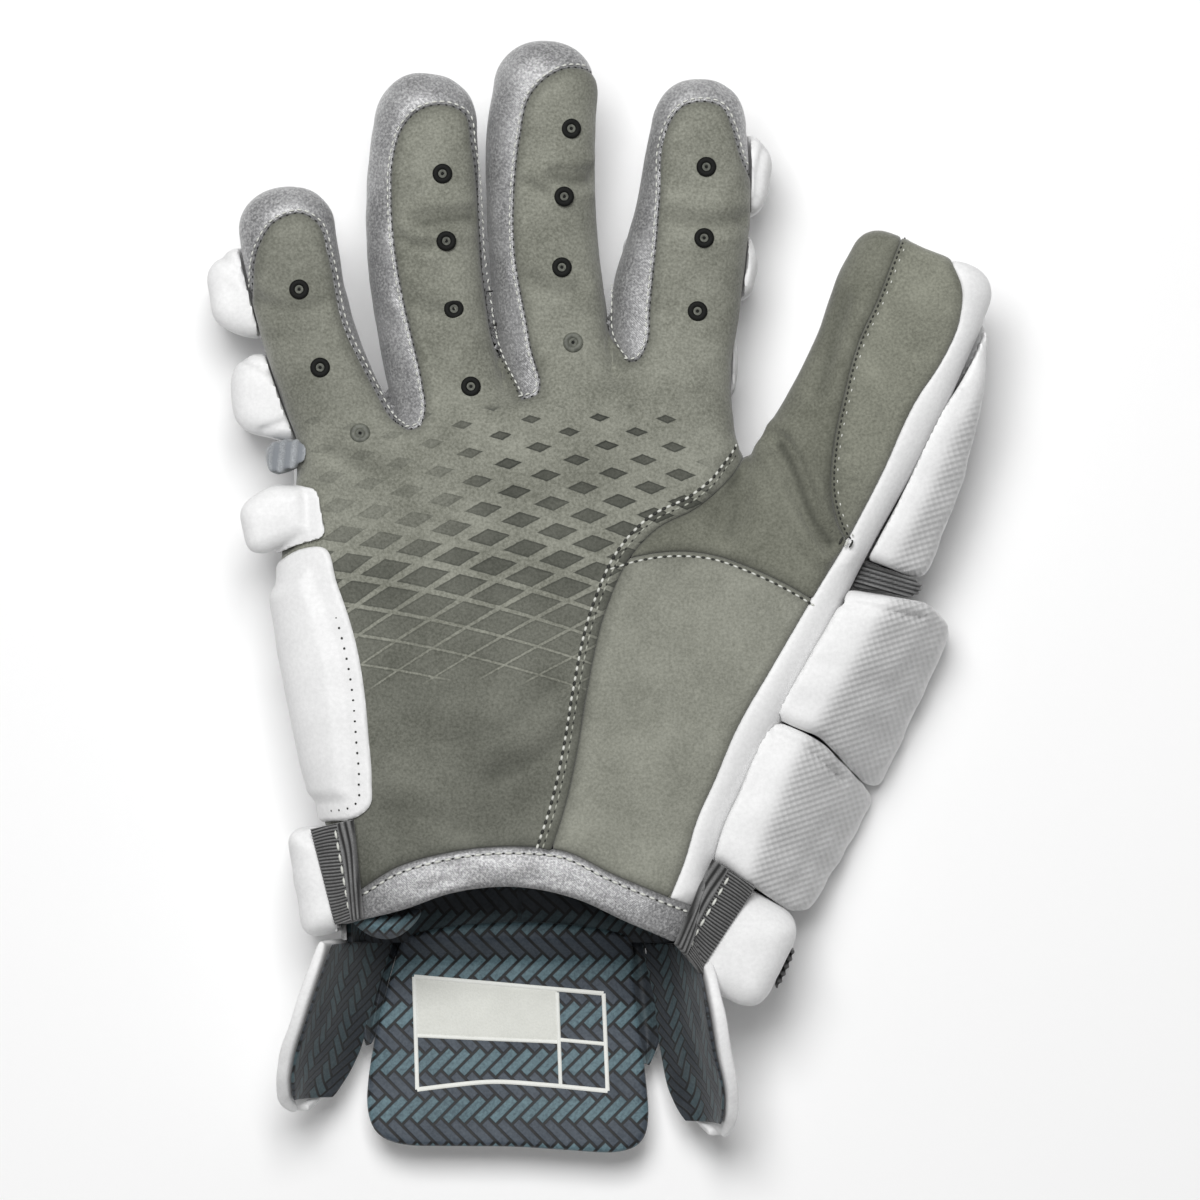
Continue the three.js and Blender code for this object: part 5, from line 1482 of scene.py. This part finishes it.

# %% [markdown]
# ## Eyelets
# The palm side of the fingers breathes through small ringed vents. A vent is a black rubber ring with a
# grey dome and a pin hole, filled with a black plug as painted shade; the lowest one on each finger has
# rubbed away to a faint ring.

# %% Eyelets
EYELETS = {
    "fresh": [(-87.8, 91.4), (-81.6, 68.4), (-45.6, 125.4), (-44.7, 105.6), (-42.2, 85.7), (-37.3, 62.8),
              (-7.8, 138.7), (-10.2, 118.7), (-10.5, 97.9), (32, 127.4), (31.3, 106.5), (29.5, 85)],
    "worn": [(-69.8, 49), (-7.2, 75.8)],
}
UPRIGHT = 1.2  # how much more an eyelet points up than the skin under it


def turned_rings(centres, profile, sides=28):
    """A profile of radius and height turned round each centre, standing on the skin, its ends meeting."""
    places = on_skin(np.array(centres, float), 0.0)
    up = read_hand(places)[1]
    up /= np.linalg.norm(up, axis=1)[:, None]
    up[:, 2] += UPRIGHT
    up /= np.linalg.norm(up, axis=1)[:, None]
    side = np.cross(up, [0.0, 1.0, 0.0])
    side /= np.linalg.norm(side, axis=1)[:, None]
    other = np.cross(up, side)
    turn = np.linspace(0, 2 * np.pi, sides, endpoint=False)
    radius, height = np.array(profile, float).T
    ring = side[:, None] * np.cos(turn)[:, None] + other[:, None] * np.sin(turn)[:, None]
    points = places[:, None, None] + ring[:, :, None] * radius[:, None] + up[:, None, None] * height[:, None]
    n, m = len(centres), len(profile)
    i = np.arange(n * sides * m).reshape(n, sides, m)
    a, b = i, np.roll(i, -1, axis=1)
    faces = np.stack([a, b, np.roll(b, -1, axis=2), np.roll(a, -1, axis=2)], -1).reshape(-1, 4)
    return points.reshape(-1, 3), faces


turn = np.linspace(0, 2 * np.pi, 10, endpoint=False)
ring_profile = np.stack([2.05 + 0.9 * np.cos(turn), 0.2 + 0.55 * np.sin(turn)], 1)
dome_profile = [(0.5, -0.3), (0.5, 0.2), (0.75, 0.4), (1.2, 0.36), (1.65, 0.15), (1.65, -0.3)]
hole_shade_profile = [(0.02, -0.4), (0.02, 0.1), (0.48, 0.1), (0.48, -0.4)]
for name, centres in EYELETS.items():
    points, quads = turned_rings(centres, ring_profile)
    rubber = black_rubber if name == "fresh" else worn_rubber
    piece(f"eyelet_rings_{name}", points, quads, rubber)
every = EYELETS["fresh"] + EYELETS["worn"]
points, quads = turned_rings(every, dome_profile[::-1])
piece("eyelet_domes", points, quads, vent_grey)
# painted shade: a black plug in each dome's hole
points, quads = turned_rings(every, hole_shade_profile[::-1], sides=12)
piece("eyelet_hole_shades", points, quads, black_rubber)

# %% [markdown]
# ## Size label
# The flat flap carries a printed frame with a writing field and three empty cells. Thick ink stands a
# little proud of cloth, so each line is a thin slab draped on the flap.

# %% Label frame, draped on the flap
LABEL_BARS = [
    ([(-54.7, -112.3), (-26, -114.8), (1.8, -117.3)], 1.3), ([(1.8, -117.3), (3, -146.2)], 1.2),
    ([(3, -146.2), (-16, -144.4), (-32, -143.5), (-44, -144.6), (-53.7, -145.8)], 1.3),
    ([(-53.7, -145.8), (-54.7, -112.3)], 1.2), ([(-12, -117), (-11, -145)], 1.1),
    ([(-54.3, -129.8), (-12, -131.7)], 1.1), ([(-11.5, -131), (2.2, -132.3)], 1.1),
]
LABEL_FIELD = [(-54.6, -112.5), (-12.0, -116.2), (-11.6, -131.6), (-54.2, -129.8)]
upward = upper & (flap_depth > 1)


def flap_height(xy):
    """Height of the flap's upper side: the mean of the surface's points nearby, near ones counting most."""
    near = np.exp(-((xy[:, None] - flap_top[None, upward, :2]) ** 2).sum(-1) / 0.6)
    return (near @ flap_top[upward, 2]) / near.sum(1)


def draped_bar(line, width, thick):
    """A flat bar along a line, lying on the flap."""
    line = through(line, 1.5)
    across = beside(line, width / 2)
    v, u = np.meshgrid(np.linspace(0, 1, 5), np.linspace(0, 1, len(line)))
    plan = across[:, None] * (1 - v[..., None]) + (2 * line - across)[:, None] * v[..., None]
    height = flap_height(plan.reshape(-1, 2)).reshape(u.shape)
    return slab(np.dstack([plan, height + thick * 0.3]), thick, u, v, squareness=8)


for k, (line, width) in enumerate(LABEL_BARS):
    points, quads = draped_bar(line, width, 0.5)
    piece(f"label_line_{k}", points, quads, label_ink)
u, v = np.meshgrid(np.linspace(0, 1, 40), np.linspace(0, 1, 20), indexing="ij")
a, b, c, d = np.array(LABEL_FIELD)
plan = (a + (b - a) * u[..., None]) * (1 - v[..., None]) + (d + (c - d) * u[..., None]) * v[..., None]
height = flap_height(plan.reshape(-1, 2)).reshape(u.shape)
points, quads = slab(np.dstack([plan, height + 0.05]), 0.4, u, v, squareness=20)
piece("label_field", points, quads, label_field)

# %% [markdown]
# ## Floor and light
# The photograph is a plain product picture on white. A pale floor, a big soft light overhead and a bright,
# even surround give the same flat light, with a little shade left between the pads.

# %% Floor
data = bpy.data.meshes.new("floor")
data.from_pydata([(-4, -4, 0), (4, -4, 0), (4, 4, 0), (-4, 4, 0)], [], [(0, 1, 2, 3)])
floor = bpy.data.objects.new("floor", data)
bpy.context.scene.collection.objects.link(floor)
floor_paint, tree, shader, where = new_material("floor_paint", 0.9)
cloud = noise(tree, where, 1.5)
tree.links.new(mix(tree, cloud, tone(246, 246, 246), tone(250, 250, 250)), shader["Base Color"])
data.materials.append(floor_paint)

# %% Lights
def soft_light(name, place, size, power):
    """A square area light that points at the glove."""
    lamp = bpy.data.lights.new(name, "AREA")
    lamp.size = size
    lamp.energy = power
    made = bpy.data.objects.new(name, lamp)
    made.location = place
    away = np.array(place, float) - np.array([0, 0, 0.03])
    tilt = math.atan2(math.hypot(away[0], away[1]), away[2])
    made.rotation_euler = (tilt, 0, math.atan2(away[0], -away[1]))
    bpy.context.scene.collection.objects.link(made)


soft_light("overhead_light", (-0.15, 0.6, 1.7), 0.8, 29)
world = bpy.data.worlds.new("surround")
world.use_nodes = True
surround = world.node_tree.nodes["Background"].inputs
surround["Color"].default_value = (1, 1, 1, 1)
surround["Strength"].default_value = 0.26
bpy.context.scene.world = world
bpy.context.scene.view_settings.view_transform = "Standard"
